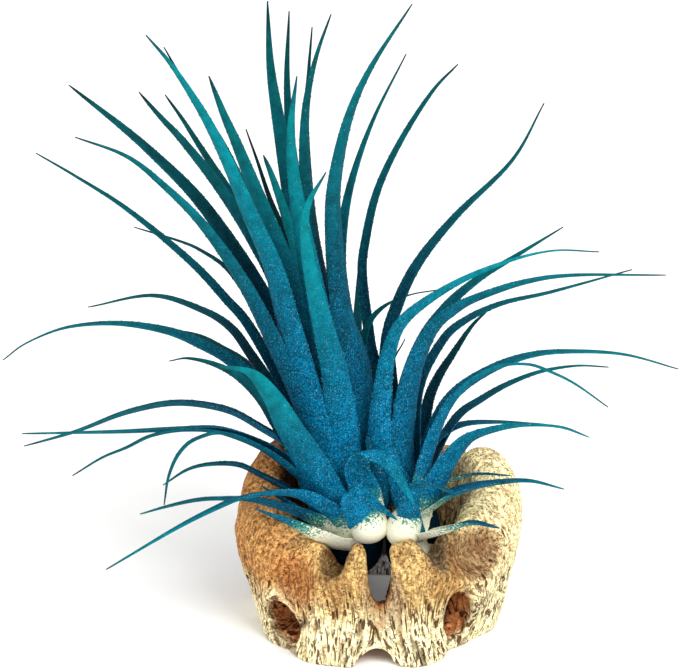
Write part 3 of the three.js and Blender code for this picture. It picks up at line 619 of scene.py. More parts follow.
def smooth_curve(knots, count):
    """A smooth curve through the knots, at places evenly spaced by length, and that length. Between knots b
    and c, with neighbours a and d, it is half of 2b + (c-a)s + (2a-5b+4c-d)s2 + (3b-a-3c+d)s3."""
    ends = np.vstack([2 * knots[0] - knots[1], knots, 2 * knots[-1] - knots[-2]])
    steps = np.linspace(0, len(knots) - 1, CURVE_STEPS)
    i = np.minimum(steps.astype(int), len(knots) - 2)
    s = (steps - i)[:, None]
    a, b, c, d = ends[i], ends[i + 1], ends[i + 2], ends[i + 3]
    line = (2 * b + (c - a) * s + (2 * a - 5 * b + 4 * c - d) * s**2 + (3 * b - a - 3 * c + d) * s**3) / 2
    run = np.concatenate([[0], np.cumsum(np.linalg.norm(np.diff(line, axis=0), axis=1))])
    even = np.linspace(0, run[-1], count)
    return np.column_stack([np.interp(even, run, line[:, k]) for k in range(3)]), run[-1]


def head_axis(head):
    """The direction of a head's stem."""
    return unit(np.array([*head["lean"], 1.0]))


def leaf_spine(head, ring, leaf):
    """The knots of a leaf's middle line and the direction that it faces. ring is 0 for the innermost
    leaves, which grow highest on the stem, and 1 for the outermost. The depth runs from the root's to the
    tip's in step with the length on the picture, plus an arch of sin(pi t)."""
    side, back, points = math.radians(leaf[0]), leaf[1], leaf[6:]
    outward = np.array([math.cos(side), math.sin(side), 0])
    root = head_axis(head) * head["stem_height"] * np.interp(ring, [0, 1], ROOT_HEIGHTS) + head["crown"]
    root = root + outward * head["stem_radius"] * np.interp(ring, [0, 1], ROOT_RADII)
    drawn = np.array([seen(root), *points])
    run = np.concatenate([[0], np.cumsum(np.linalg.norm(np.diff(drawn, axis=0), axis=1))])
    t = run / run[-1]
    depth = root[1] + (back - root[1]) * t + LEAF_ARCH * run[-1] * outward[1] * np.sin(np.pi * t)
    return placed(drawn[:, 0], drawn[:, 1], depth).T, outward


# %% The blade
def blade(head, knots, outward, width, roll, taper):
    """A closed shell along a curve, as rows of points round a crescent section. Half the width is the tip's
    plus width / 2 times (1 - t) ** taper. The back face is a parabola across the leaf, and the channel face
    lies above it by the thickness times (1 - a4), so the edges are thin."""
    centre, length = smooth_curve(knots, BLADE_STATIONS)
    t = np.linspace(0, 1, BLADE_STATIONS)[:, None]
    tangent = unit(np.gradient(centre, axis=0))
    sideways = np.cross(outward, head_axis(head))
    across = unit(sideways - tangent * (tangent @ sideways)[:, None])
    turn = math.radians(roll) * np.sin(np.pi * t)
    across = across * np.cos(turn) + np.cross(tangent, across) * np.sin(turn)
    inward = np.cross(across, tangent)
    half = TIP_HALF_WIDTH + width / 2 * (1 - t) ** taper
    lift = half * (CHANNEL_DEPTH + SHEATH_DEPTH * np.maximum(0, 1 - 4 * t))
    thick = THIN_EDGE + THICK_BASE * width * (1 - t) ** 0.5
    a = SECTION_ACROSS[None, :]
    rise = lift * a**2 - (lift + thick) / 2 + thick * SECTION_IS_CHANNEL * (1 - a**4)
    rows = centre[:, None] + across[:, None] * (half * a)[..., None] + inward[:, None] * rise[..., None]
    return rows, half[:, 0], length


def tube_faces(stations, around):
    """Quads between the rows of a closed tube of points, and fans that close both ends on two extra points,
    which come after the rows."""
    row, column = np.meshgrid(np.arange(stations - 1), np.arange(around), indexing="ij")
    beside = (column + 1) % around
    corners = [
        row * around + column,
        row * around + beside,
        (row + 1) * around + beside,
        (row + 1) * around + column,
    ]
    quads = np.stack(corners, axis=-1).reshape(-1, 4)
    j = np.arange(around)
    beside = (j + 1) % around
    start = np.full(around, stations * around)
    last = (stations - 1) * around
    base = np.column_stack([start, beside, j])
    tip = np.column_stack([start + 1, last + j, last + beside])
    return quads, np.vstack([base, tip])


print("a blade has", sum(map(len, tube_faces(BLADE_STATIONS, len(SECTION_ACROSS)))), "faces")


# %% Rows for the hidden leaves
def repeatable(state):
    """Endless numbers between 0 and 1: each state is 16807 times the last one, modulo 2147483647."""
    while True:
        state = state * 16807 % 2147483647
        yield state / 2147483647


def hidden_leaves(head, plan):
    """Rows for the back of a head: tips spread by the golden ratio across and evenly up and back, with a
    jitter."""
    draw = repeatable(plan["seed"])
    crown = np.array(head["crown"])
    leaves = []
    for i in range(plan["count"]):
        share = (i + 0.5) / plan["count"]
        jitter, widening = next(draw), next(draw)
        tip_across = np.interp(i * 0.618 % 1, [0, 1], plan["across"])
        tip_up = np.interp(share, [0, 1], plan["up"])
        near_back, far_back = plan["back"]
        tip_back = far_back + (near_back - far_back) * share + HIDDEN_STRAY * (jitter - 0.5)
        tip = placed(tip_across, tip_up, tip_back)
        rise = np.interp(share, [0, 1], HIDDEN_RISE)
        bends = [seen(crown + (tip - crown) * way + [0, 0, high * rise]) for way, high in HIDDEN_BENDS]
        side = math.degrees(math.atan2(tip[1] - crown[1], tip[0] - crown[0]))
        width = plan["wide"] * (0.85 + 0.3 * widening)
        leaves.append([side, tip_back, width, HIDDEN_TAPER, 0, HIDDEN_PAINTED_LIGHT, *bends, (tip_across, tip_up)])
    return leaves


# %% [markdown]
# ## Swollen sheaths and the stem
#
# The front leaf of each head has a round, swollen base as white as an onion. It is an egg whose rows go
# from pole to pole. The short stem inside the crown is an egg too, hidden among the leaf bases.


# %% Eggs
def egg(middle, axis, radius, height, narrowing=0.0, stations=40, around=40):
    """Rows of points round an egg that stands along axis: at latitude p the distance along the axis is
    height / 2 sin(p), and the radius is radius cos(p) (1 - narrowing sin(p)), so the top is the slimmer
    end."""
    p = np.linspace(-np.pi / 2, np.pi / 2, stations + 2)[1:-1, None]
    q = np.linspace(0, 2 * np.pi, around, endpoint=False)[None, :]
    right = unit(np.cross([0, 1, 0], axis))
    ahead = np.cross(axis, right)
    flat = np.cos(q)[..., None] * right + np.sin(q)[..., None] * ahead
    reach = radius * np.cos(p) * (1 - narrowing * np.sin(p))
    return np.array(middle) + reach[..., None] * flat + height / 2 * np.sin(p)[..., None] * axis


# %% [markdown]
# ## The scales
#
# Close up, the scales stand off the leaf like tiny flakes and point to its tip. They catch the light and
# make the edges look fuzzy, and some are painted brighter as glints. Each one here is a closed flake of only
# four faces. They are spread over the blades by a fixed sequence that fills a square evenly, so they neither
# clump nor line up.

# %% The scales' material and sizes
FLAKE_LENGTH = 0.42
FLAKE_WIDTH = 0.2
FLAKE_TILT = math.radians(26)
# How deep a flake's base is sunk, and where its back is highest: a share of its length, and a height.
FLAKE_SUNK = 0.04
FLAKE_BACK = (0.35, 0.16)
# The distance between flakes on each head, and one flake in so many that stands on an edge of the blade.
FLAKE_SPACING = {"main_rosette": 0.98, "side_rosette": 0.75}
EDGE_EVERY = 4

flake_skin, tree, shader = new_material("leaf_scale")
painted_light, pale, painted_glint = (
    add(tree, "Attribute", attribute_name=name).outputs["Fac"] for name in ("painted_light", "pale", "painted_glint")
)
# Painted light: each flake is as light or dark as its leaf is painted.
flake_painted_light_gain = add(tree, "MapRange", {"Value": painted_light, "To Min": 0.1, "To Max": 1.15})
# Painted glints: a flake runs from the deep tint to a pale cyan by its glint value.
flake_ramp = add(tree, "ValToRGB", {"Fac": painted_glint})
set_ramp(flake_ramp, [(0, linear("#015070")), (0.55, linear("#02789a")), (1, linear("#74cfe0"))])
lit = add(tree, "VectorMath", {0: flake_ramp, "Scale": flake_painted_light_gain}, operation="SCALE")
white = add(tree, "MapRange", {"Value": pale, "From Min": 0.3, "From Max": 0.7})
flake_colour = add(tree, "Mix", {"Factor": white, 6: lit, 7: linear("#f2f1e6")}, data_type="RGBA")
give(tree, shader, {"Base Color": flake_colour, "Roughness": 0.5, "IOR": 1.42, "Specular IOR Level": 0.2})
print("a scale is", FLAKE_LENGTH, "mm long and", FLAKE_WIDTH, "mm wide")


# %% Where the flakes stand
def flake_places(rows, half, along, spacing, seed):
    """For each flake on a blade its number, its place in stations along and columns round, and whether it
    stands on an edge. The places follow the R2 sequence, steps of 0.7549 along and 0.5698 round, and are
    drawn to the wide part by the running sum of the width."""
    stations, around = rows.shape[:2]
    steps = np.linalg.norm(np.diff(rows[:, 0], axis=0), axis=1)
    weight = half[:-1] * steps * np.interp(along[:-1], [0, 0.5, 1], [1, 0.9, 0.7])
    run = np.concatenate([[0], np.cumsum(weight)])
    i = np.arange(max(20, int(run[-1] * 4 / spacing**2))) + seed * 17
    k = np.interp((i * 0.7548777) % 1 * run[-1], run, np.arange(stations)).clip(0, stations - 1.001)
    j = (i * 0.5698403) % 1 * around
    at_edge = i % EDGE_EVERY == 0
    edge = np.where(i % (2 * EDGE_EVERY) == 0, 0, FACE_POINTS - 1)
    return i, k, np.where(at_edge, edge + ((i * 0.3247) % 1 - 0.5), j) % around, at_edge


# %% Flakes on a blade
def flakes(rows, half, along, painted_light, pale, spacing, seed):
    """Closed four-faced flakes on a blade: points, faces and values. Each has a base of two corners, a
    raised tip and a back above the line between them. Its normal is the blade's, or points away from the
    blade's middle where it stands on an edge."""
    i, k, j, at_edge = flake_places(rows, half, along, spacing, seed)
    k0, j0 = k.astype(int), j.astype(int) % rows.shape[1]
    j1 = (j0 + 1) % rows.shape[1]
    sk, sj = (k - k0)[:, None], (j - np.floor(j))[:, None]
    left = rows[k0, j0] * (1 - sk) + rows[k0 + 1, j0] * sk
    right = rows[k0, j1] * (1 - sk) + rows[k0 + 1, j1] * sk
    spot = left * (1 - sj) + right * sj
    ahead = unit(rows[k0 + 1, j0] - rows[k0, j0])
    middle = rows.mean(axis=1)
    away = unit(spot - (middle[k0] * (1 - sk) + middle[k0 + 1] * sk))
    normal = np.where(at_edge[:, None], away, unit(np.cross(unit(right - left), ahead)))
    beside = np.cross(ahead, normal)
    size = (0.7 + 0.6 * ((i * 0.6180339) % 1))[:, None] * np.interp(half[k0], [0, 1], [0.45, 1])[:, None]
    reach = FLAKE_LENGTH * size
    base = spot - normal * FLAKE_SUNK
    back_at, back_height = FLAKE_BACK
    corners = [
        base - beside * FLAKE_WIDTH / 2 * size,
        base + beside * FLAKE_WIDTH / 2 * size,
        spot + ahead * reach * math.cos(FLAKE_TILT) + normal * reach * math.sin(FLAKE_TILT),
        spot + ahead * reach * back_at + normal * reach * (back_at * math.sin(FLAKE_TILT) + back_height),
    ]
    faces = np.array([[0, 1, 2], [0, 3, 1], [1, 3, 2], [2, 3, 0]])
    faces = (faces[None] + 4 * np.arange(len(i))[:, None, None]).reshape(-1, 3)
    # Each flake takes its leaf's painted light, and a painted glint that fades towards the tip.
    values = {
        "painted_light": np.full(len(i) * 4, painted_light),
        "pale": np.repeat(pale[k0], 4),
        "painted_glint": np.repeat((i * 0.4142135) % 1 * np.interp(along[k0], [0.4, 0.85], [1, 0.45]), 4),
    }
    return np.stack(corners, axis=1).reshape(-1, 3), (faces,), values


# %% Shells and how they are joined
def smoothstep(x, low, high):
    """0 below low, 1 above high and 3s2 - 2s3 between."""
    s = np.clip((x - low) / (high - low), 0, 1)
    return s * s * (3 - 2 * s)


def closed_tube(rows, along, painted_light, pale, channel):
    """A closed shell from rows of points, with a point in the middle of each end: points, faces and values.
    Each value is one number, or one for each row, or one for each column."""
    ends = np.stack([rows[0].mean(axis=0), rows[-1].mean(axis=0)])
    values = {}
    for key, given in {"along": along, "painted_light": painted_light, "pale": pale, "channel": channel}.items():
        spread = np.broadcast_to(given, rows.shape[:2])
        values[key] = np.concatenate([spread.ravel(), spread[[0, -1], 0]])
    return np.vstack([rows.reshape(-1, 3), ends]), tube_faces(*rows.shape[:2]), values


def joined(shells):
    """Many shells as one: their points in turn, each kind of face numbered on, and their values in step."""
    points, faces, values = zip(*shells)
    firsts = np.cumsum([0, *map(len, points[:-1])])
    blocks = [np.vstack([block + first for block, first in zip(kind, firsts)]) for kind in zip(*faces)]
    together = {key: np.concatenate([each[key] for each in values]) for key in values[0]}
    return np.vstack(points), blocks, together


# %% A whole head
# Where the colours start on a bulb, how lit it is painted, and between which levels its white ends.
BULB_ALONG = 0.1
BULB_PAINTED_LIGHT = 0.85
BULB_FADE = (0.3, 0.95)


def build_head(name, bulb, rings):
    """All blades of a head with its stem and swollen sheath as one piece, and its scales as another."""
    shells, scales = [], []
    t = np.linspace(0, 1, BLADE_STATIONS)
    for head, ring, leaves, roll in rings:
        stem = egg(head["crown"], head_axis(head), head["stem_radius"], head["stem_height"])
        shells.append(closed_tube(stem, 0, 0, 0, 0))
        for leaf in leaves:
            width, taper, sheath_end, painted_light = leaf[2:6]
            knots, outward = leaf_spine(head, ring, leaf)
            rows, half, length = blade(head, knots, outward, width, roll, taper)
            along = t * min(1, length / FULL_LENGTH)
            pale = 1 - smoothstep(t, sheath_end * SHEATH_FADE[0], sheath_end * SHEATH_FADE[1] + 0.02)
            channel = SECTION_IS_CHANNEL * (1 - SECTION_ACROSS**6)
            shells.append(closed_tube(rows, along[:, None], painted_light, pale[:, None], channel))
            scales.append(flakes(rows, half, along, painted_light, pale, FLAKE_SPACING[name], len(scales)))
    swelling = egg(bulb[0], head_axis(rings[0][0]), bulb[1], bulb[2], BULB_NARROWING)
    white = 1 - smoothstep(np.linspace(0, 1, len(swelling)), *BULB_FADE)
    shells.append(closed_tube(swelling, BULB_ALONG, BULB_PAINTED_LIGHT, white[:, None], 0))
    points, faces, values = joined(shells)
    make_piece(name + "_leaves", points, faces, leaf_skin, values, name)
    points, faces, values = joined(scales)
    make_piece(name + "_scales", points, faces, flake_skin, values)


# Rings of leaves: the head they grow on, 0 for innermost to 1 for outermost, the leaves and their roll.
MAIN_RINGS = [
    (MAIN_HEAD, 0, MAIN_INNER, 0),
    (MAIN_HEAD, 0.5, MAIN_MIDDLE, 0),
    (MAIN_HEAD, 0.5, hidden_leaves(MAIN_HEAD, MAIN_HIDDEN), 0),
    (MAIN_HEAD, 1, MAIN_OUTER, 0),
    (FRONT_SHOOT, 0.2, FRONT_HOOKED, HOOK_ROLL),
    (FRONT_SHOOT, 0.2, FRONT_ARCHED, 0),
]
SIDE_RINGS = [
    (SIDE_HEAD, 0, SIDE_INNER, 0),
    (SIDE_HEAD, 0.6, hidden_leaves(SIDE_HEAD, SIDE_HIDDEN), 0),
    (SIDE_HEAD, 1, SIDE_OUTER, 0),
]
build_head("main_rosette", MAIN_BULB, MAIN_RINGS)
build_head("side_rosette", SIDE_BULB, SIDE_RINGS)

# %% [markdown]
# ## The wood as one field
#
# The ring's holes run into funnels and its rim is worn round, which is hard to draw as strips. Instead the
# wood is a field: a number at each point of space, negative inside the wood and positive outside. Two
# solids are joined or cut with a smooth maximum, so every edge is worn as far as its rounding says. A net
# of points is then laid over the place where the field is zero.

# %% The field of the wood
# The net's cells: their size, the corner where they start, and how many corners there are each way.
NET_STEP = 0.42
NET_LOW = np.array([-32.0, -32.0, -1.3])
NET_CORNERS = (153, 153, 84)
# How far the edges are worn.
RIM_ROUNDING = 1.2
CREST_ROUNDING = 1.5 * RIM_ROUNDING
HOLE_ROUNDING = 1.6
FOOT_ROUNDING = 0.3


def smooth_max(a, b, rounding):
    """The larger of two fields with a worn edge: max(a, b) plus h2 / (4 r), where h is r - |a - b| and at
    least 0."""
    h = np.maximum(rounding - np.abs(a - b), 0)
    return np.maximum(a, b) + h * h / (4 * rounding)


def hollow(x, y, z, angle, radius, height, width, tall, deep, lean):
    """Distance, roughly, outside a stretched ball in the wall, width round it, tall up it and deep along the
    radius: the way from its middle, each part over half the ball's size there, less 1, times half the
    smallest size."""
    turn, tip = math.radians(angle), math.radians(lean)
    out = x * math.cos(turn) + y * math.sin(turn) - radius
    beside = -x * math.sin(turn) + y * math.cos(turn)
    above = z - height
    across = (beside * math.cos(tip) + above * math.sin(tip)) / (width / 2)
    upright = (above * math.cos(tip) - beside * math.sin(tip)) / (tall / 2)
    return (np.sqrt((out / (deep / 2)) ** 2 + across**2 + upright**2) - 1) * min(width, tall, deep) / 2


def wood_field(x, y, z):
    """Negative inside the ring: the smooth maximum of the outer wall, the inner wall, the rim and the foot,
    less every hole and dip."""
    radius = np.hypot(x, y)
    angle = np.degrees(np.arctan2(y, x))
    height = outline_at(angle, 3)
    level = np.clip(z / height, 0, 1)
    outer, inner = outer_radius(angle, level), inner_radius(angle, level)
    through = np.clip((radius - inner) / (outer - inner), 0, 1)
    field = smooth_max(radius - outer, inner - radius, RIM_ROUNDING)
    field = smooth_max(field, z - height - RING_CREST * np.sin(np.pi * through), CREST_ROUNDING)
    field = smooth_max(field, -z, FOOT_ROUNDING)
    for angle_at, height_at, width, tall, lean in RING_HOLES:
        middle = float(inner_radius(angle_at, 0.5) + outer_radius(angle_at, 0.5)) / 2
        hole = hollow(x, y, z, angle_at, middle, height_at, width, tall, HOLE_DEPTH, lean)
        field = smooth_max(field, -hole, HOLE_ROUNDING)
    for angle_at, radius_at, height_at, width, tall, deep in RING_DIPS:
        dip = hollow(x, y, z, angle_at, radius_at, height_at, width, tall, deep, 0)
        field = smooth_max(field, -dip, HOLE_ROUNDING)
    return field


# %% A net over a field
def surface_net(field, low, step):
    """Points and quads where a sampled field is zero. Each cell that the surface cuts gets one point, the
    mean of the places where its twelve edges are cut, and each cut edge gets one quad between its four
    cells."""
    inside = field < 0
    shape = np.array(field.shape)
    cells = shape - 1
    sums = np.zeros((*cells, 3), np.float32)
    counts = np.zeros(cells, np.int16)
    crossings = []
    for axis in range(3):
        near = [slice(None)] * 3
        far = [slice(None)] * 3
        near[axis], far[axis] = slice(0, -1), slice(1, None)
        start, stop = field[tuple(near)], field[tuple(far)]
        cut = np.argwhere(inside[tuple(near)] != inside[tuple(far)])
        value, other = start[tuple(cut.T)], stop[tuple(cut.T)]
        place_at = cut.astype(np.float32)
        place_at[:, axis] += value / (value - other)
        crossings.append((axis, cut, value < 0))
        u, v = [a for a in range(3) if a != axis]
        for du in (0, 1):
            for dv in (0, 1):
                cell = cut.copy()
                cell[:, u] -= du
                cell[:, v] -= dv
                ok = ((cell >= 0) & (cell < cells)).all(axis=1)
                np.add.at(sums, tuple(cell[ok].T), place_at[ok])
                np.add.at(counts, tuple(cell[ok].T), 1)
    used = np.argwhere(counts > 0)
    points = sums[tuple(used.T)] / counts[tuple(used.T)][:, None]
    number = np.full(cells, -1, np.int64)
    number[tuple(used.T)] = np.arange(len(used))
    quads = []
    for axis, cut, outward in crossings:
        u, v = (axis + 1) % 3, (axis + 2) % 3
        around = []
        for du, dv in ((1, 1), (0, 1), (0, 0), (1, 0)):
            cell = cut.copy()
            cell[:, u] -= du
            cell[:, v] -= dv
            around.append(number[tuple(cell.T)])
        quad = np.column_stack(around)
        quad[~outward] = quad[~outward, ::-1]
        quads.append(quad)
    return points * step + low, np.vstack(quads)


x, y, z = (start + NET_STEP * np.arange(count) for start, count in zip(NET_LOW, NET_CORNERS))
grid = np.meshgrid(x, y, z, indexing="ij")
wood_points, wood_quads = surface_net(wood_field(*grid).astype(np.float32), NET_LOW, NET_STEP)
print("net of", len(wood_points), "points and", len(wood_quads), "quads")

# %% [markdown]
# ## Grain that parts round the holes
#
# The fibres of cactus wood run up the wall and part round each hole, as a stream parts round a stone. That
# is just how an ideal stream flows, so its two functions give the grain: one stays the same along a fibre,
# and the other runs along it. They are stored as an attribute, and the pattern of the wood is drawn in
# those coordinates. On the worn rim the fibres lie over and run inward, so there the pattern is drawn out
# along the radius instead.

# %% The grain
# The radius on which arc lengths are measured, how much the pattern is drawn out up the wall and along the
# radius, and how far and how slowly the fibres sway.
GRAIN_RADIUS = 27
GRAIN_STRETCH = 0.26
RADIAL_STRETCH = 0.35
GRAIN_SWAY = 1.6
SWAY_PER_MM = 0.1
# The stones in the stream are the holes but for the slot. Their heights count a little less, and the fibres
# stop parting inside a share of their size.
STONES = RING_HOLES[1:]
STONE_FLATNESS = 0.8
STONE_CORE = 0.7


def grain_lines(points):
    """Across and along the fibres, in mm: s - sum of R2 ds / r2 and z + sum of R2 dz / r2, where s is the
    arc length round the wall, R the hole's radius and r the distance from its middle. A slow noise sways
    the fibres."""
    angle = np.degrees(np.arctan2(points[:, 1], points[:, 0]))
    across = np.radians(angle) * GRAIN_RADIUS
    around = 2 * np.pi * GRAIN_RADIUS
    shift_across = GRAIN_SWAY * value_noise(points * SWAY_PER_MM, 41)
    shift_along = np.zeros(len(points))
    for angle_at, height_at, width, tall, _ in STONES:
        ds = (across - math.radians(angle_at) * GRAIN_RADIUS + around / 2) % around - around / 2
        dz = (points[:, 2] - height_at) * STONE_FLATNESS
        size = width * tall / 4
        reach = np.maximum(ds**2 + dz**2, size * STONE_CORE)
        shift_across -= size * ds / reach
        shift_along += size * dz / reach
    return across + shift_across, points[:, 2] + shift_along


across, along = grain_lines(wood_points)
radius = np.hypot(wood_points[:, 0], wood_points[:, 1])
turn = across / GRAIN_RADIUS
spread_radius = GRAIN_RADIUS + (radius - GRAIN_RADIUS) * RADIAL_STRETCH
grain_place = np.column_stack(
    [spread_radius * np.cos(turn), spread_radius * np.sin(turn), along * GRAIN_STRETCH]
)
print("fibres run from", along.min().round(1), "to", along.max().round(1), "mm up the wall")

# %% [markdown]
# ## The relief of the wood
#
# Bundles of fibres stand out as strands, with crevices between them where a slow noise passes through zero.
# Low on the wall the crevices open into pores: lens-shaped pits that go with the grain. The large ones are
# cut into the mesh, by moving its points along their normals, and the fine ones are left to the material.


# %% Normals and relief
def net_normals(points, quads):
    """Unit normals at the points: the cross products of the quads' diagonals, summed at their corners."""
    facing = np.cross(points[quads[:, 2]] - points[quads[:, 0]], points[quads[:, 3]] - points[quads[:, 1]])
    total = np.zeros_like(points)
    for corner in range(4):
        np.add.at(total, quads[:, corner], facing)
    return unit(total + 1e-12)


# Each noise below is read at the grain's place times these numbers, so larger numbers give finer marks.
STRANDS_AT = (0.7, 0.7, 0.3)
WRINKLES_AT = (1.3, 1.3, 1.0)
PITS_AT = (0.9, 0.9, 0.8)
# Heights and depths in mm. Crevices have one depth everywhere and more where the wood is porous.
STRAND_HEIGHT = 0.12
WRINKLE_HEIGHT = 0.14
LUMP_HEIGHT = 0.3
PIT_DEPTH = 0.8
CREVICE_DEPTHS = (0.15, 0.4)

angle = np.degrees(np.arctan2(wood_points[:, 1], wood_points[:, 0]))
height_here = outline_at(angle, 3)
level = np.clip(wood_points[:, 2] / height_here, 0, 1)
outer_here, inner_here = outer_radius(angle, level), inner_radius(angle, level)
broad = value_noise(grain_place * 0.16, 3)
porous = np.clip(smoothstep(1 - level, 0.2, 0.6) + 0.3 * broad, 0, 1)

strands = value_noise(grain_place * STRANDS_AT, 7)
wrinkles = value_noise(grain_place * WRINKLES_AT, 9)
crevices = 1 - smoothstep(np.abs(strands), 0.01, 0.11)
pits = smoothstep(value_noise(grain_place * PITS_AT, 21), 0.36, 0.56) * porous
lumps = value_noise(wood_points * 0.2, 5) + 0.5 * value_noise(wood_points * 0.45, 6)
relief_mm = STRAND_HEIGHT * np.abs(strands) + WRINKLE_HEIGHT * wrinkles + LUMP_HEIGHT * lumps
relief_mm -= PIT_DEPTH * pits
relief_mm -= crevices * (CREVICE_DEPTHS[0] + CREVICE_DEPTHS[1] * porous)
relief_mm *= smoothstep(wood_points[:, 2], 0, 1.2)
shown_points = wood_points + net_normals(wood_points, wood_quads) * relief_mm[:, None]
shown_points[:, 2] = np.maximum(shown_points[:, 2], 0)
print("relief from", relief_mm.min().round(2), "to", relief_mm.max().round(2), "mm")

# %% [markdown]
# ## Where the wood is bleached, stained and shaded
#
# Sun and sand have bleached the foot and the right side to cream. The upper left is still tan, the fingers
# of wood between the front dips are ochre, and the back is brown. The dips are darker: the shallow dips and
# funnels have brown or grey stains, and the deep notches near-black painted shade. The bores are brown
# inside, the upper sides of the slot are painted dark as shade, and the hollow's inner wall is painted with
# deep shade, but for its foot at the back, where a pale grey is painted as light from the floor. Each of
# these colours is laid over the one before it with a share between 0 and 1 worked out from the place, and
# the result, painted light and shade included, is stored as the wood's tint.


# %% The wood's colours
def wood_colour(code):
    """The linear red, green and blue of an sRGB hex colour, as an array."""
    return np.array(linear(code)[:3])


CREAM = wood_colour("#fff6c6")
YELLOW = wood_colour("#efcf88")
TAN = wood_colour("#c49055")
OCHRE = wood_colour("#a88450")
BROWN = wood_colour("#9a5a26")
UMBER = wood_colour("#4f2f17")
GREY = wood_colour("#857666")
# SHADE is painted shade for the low inner wall; the pale grey after it is painted light for the hollow's foot
# at the back.
SHADE = wood_colour("#3f4048")
PAINTED_BOUNCE_GREY = wood_colour("#d3d4d6")
# The colour and the strength of the darkening in each dip, in the order of the dips: brown and grey stains,
# and near-black painted shade where UMBER or GREY is scaled to 0.4 or less.
DIP_STAINS_AND_SHADE = [
    (GREY, 0.75),
    (UMBER * 0.4, 0.95),
    (BROWN, 0.8),
    (GREY * 0.4, 0.85),
    (BROWN * 0.55, 0.95),
    (BROWN, 0.5),
    (UMBER * 0.3, 0.9),
]
# How far the stain and the painted shade spread past a dip.
STAIN_AND_SHADE_EDGE = 1.8


def lay(under, over, share):
    """The colour over laid on the colours under, with a share for each point."""
    return under + (over - under) * np.clip(share, 0, 1)[:, None]


print(len(DIP_STAINS_AND_SHADE), "stains for", len(RING_DIPS), "dips")

# %% The tint
# Distances in the spans below are in mm from the middle of the ring, and heights in mm above the floor.
x, y, z = wood_points.T
blotch = 0.5 * value_noise(wood_points * 0.25, 13)
upper = smoothstep(z + 3 * blotch, 7, 16)
right, left = smoothstep(x, 6, 22), smoothstep(-x, 4, 20)
tint = np.tile(CREAM, (len(wood_points), 1))
tint = lay(tint, YELLOW, upper * (1 - 0.7 * right) + 0.25 * blotch)
tint = lay(tint, TAN, left * (0.12 + 0.88 * upper) + 0.5 * blotch * left)
fingers = upper * (1 - smoothstep(np.abs(angle + 82), 26, 42))
tint = lay(tint, OCHRE, fingers * (0.7 + 0.8 * blotch))
tint = lay(tint, BROWN * 0.6, 0.85 * smoothstep(y, -2, 12) * (1 - right))
# Each dip gets its darkening: stains in the funnels, near-black painted shade in the deep notches.
for (angle_at, radius_at, height_at, width, tall, deep), (stain_and_shade, strength) in zip(RING_DIPS, DIP_STAINS_AND_SHADE):
    outside = hollow(x, y, z, angle_at, radius_at, height_at, width, tall, deep, 0)
    tint = lay(tint, stain_and_shade, strength * (1 - smoothstep(outside + blotch, -0.6, STAIN_AND_SHADE_EDGE)))

# The inner wall, all painted: umber on its left half and dark grey low down as painted shade, and a pale
# grey at its foot at the back as painted light from the floor.
painted_inner_wall = 1 - smoothstep(radius - inner_here, 0.3, 2.5)
tint = lay(tint, UMBER, painted_inner_wall * smoothstep(-x, -6, 6))
tint = lay(tint, SHADE, painted_inner_wall * (1 - smoothstep(z, 9, 15)))
tint = lay(tint, PAINTED_BOUNCE_GREY, painted_inner_wall * smoothstep(y, 4, 8) * (1 - smoothstep(z, 4, 5)))

# The bores of the holes, away from the two walls and from the rim. The upper sides of the slot are painted
# darkest, as painted shade.
bore = np.zeros(len(wood_points))
for angle_at, height_at, width, tall, lean in RING_HOLES:
    middle = float(inner_radius(angle_at, 0.5) + outer_radius(angle_at, 0.5)) / 2
    outside = hollow(x, y, z, angle_at, middle, height_at, width, tall, HOLE_DEPTH, lean)
    bore = np.maximum(bore, 1 - smoothstep(outside, 0.3, 1.6))
bore *= smoothstep(outer_here - radius, 0.6, 3.5) * smoothstep(radius - inner_here, -0.5, 1.5)
bore *= smoothstep(height_here - z, 3, 7)
tint = lay(tint, BROWN * 1.7, 0.9 * bore)
slot_wall_shade = bore * (1 - smoothstep(np.abs(angle + 90), 7, 10)) * smoothstep(z, 11, 14)
tint = lay(tint, UMBER * 0.4, slot_wall_shade)
tint = lay(tint, UMBER, 0.7 * pits * (1 - 0.6 * bore))
tint = lay(tint, BROWN, 0.6 * crevices * (0.3 + 0.7 * porous))
print("tint from", tint.min(axis=0).round(3), "to", tint.max(axis=0).round(3))

# %% [markdown]
# ## Weathered cactus wood
#
# The wood is dry and matt. Close up, light and dark fibres lie side by side, with sharp dark slits and
# pinholes between them, and the worn skin near the rim is mottled. A dark fibre is the tint times a warm
# brown, so it is richer in colour as well as darker.

# %% The wood's fibres and slits
# How many features there are to a millimetre across the grain: fibres are 0.4 mm wide, the mottling 0.8 mm,
# the slits and pores lie 0.9 mm apart, which is their real size, and the pinholes 0.6 mm, about twice as
# coarse as real.
FIBRE_PER_MM = 2.4
CRACK_PER_MM = 1.15
ENDS_PER_MM = 0.9
SKIN_PER_MM = 1.3
PORE_PER_MM = 1.15
PINHOLE_PER_MM = 1.7

dry_wood, tree, shader = new_material("weathered_cactus_wood")
grain = add(tree, "Attribute", attribute_name="grain").outputs["Vector"]
tint_at = add(tree, "Attribute", attribute_name="tint").outputs["Vector"]
porous_at = add(tree, "Attribute", attribute_name="porous").outputs["Fac"]
long_grain = add(tree, "VectorMath", {0: grain, 1: (1.0, 1.0, 0.45)}, operation="MULTIPLY")

fibres = add(tree, "TexNoise", {"Vector": long_grain, "Scale": FIBRE_PER_MM, "Detail": 4.0,
                                "Roughness": 0.68})
fibre_dark = add(tree, "MapRange", {"Value": fibres, "From Min": 0.47, "From Max": 0.3})
fibre_light = add(tree, "MapRange", {"Value": fibres, "From Min": 0.5, "From Max": 0.68, "To Min": 1.0,
                                     "To Max": 1.35})

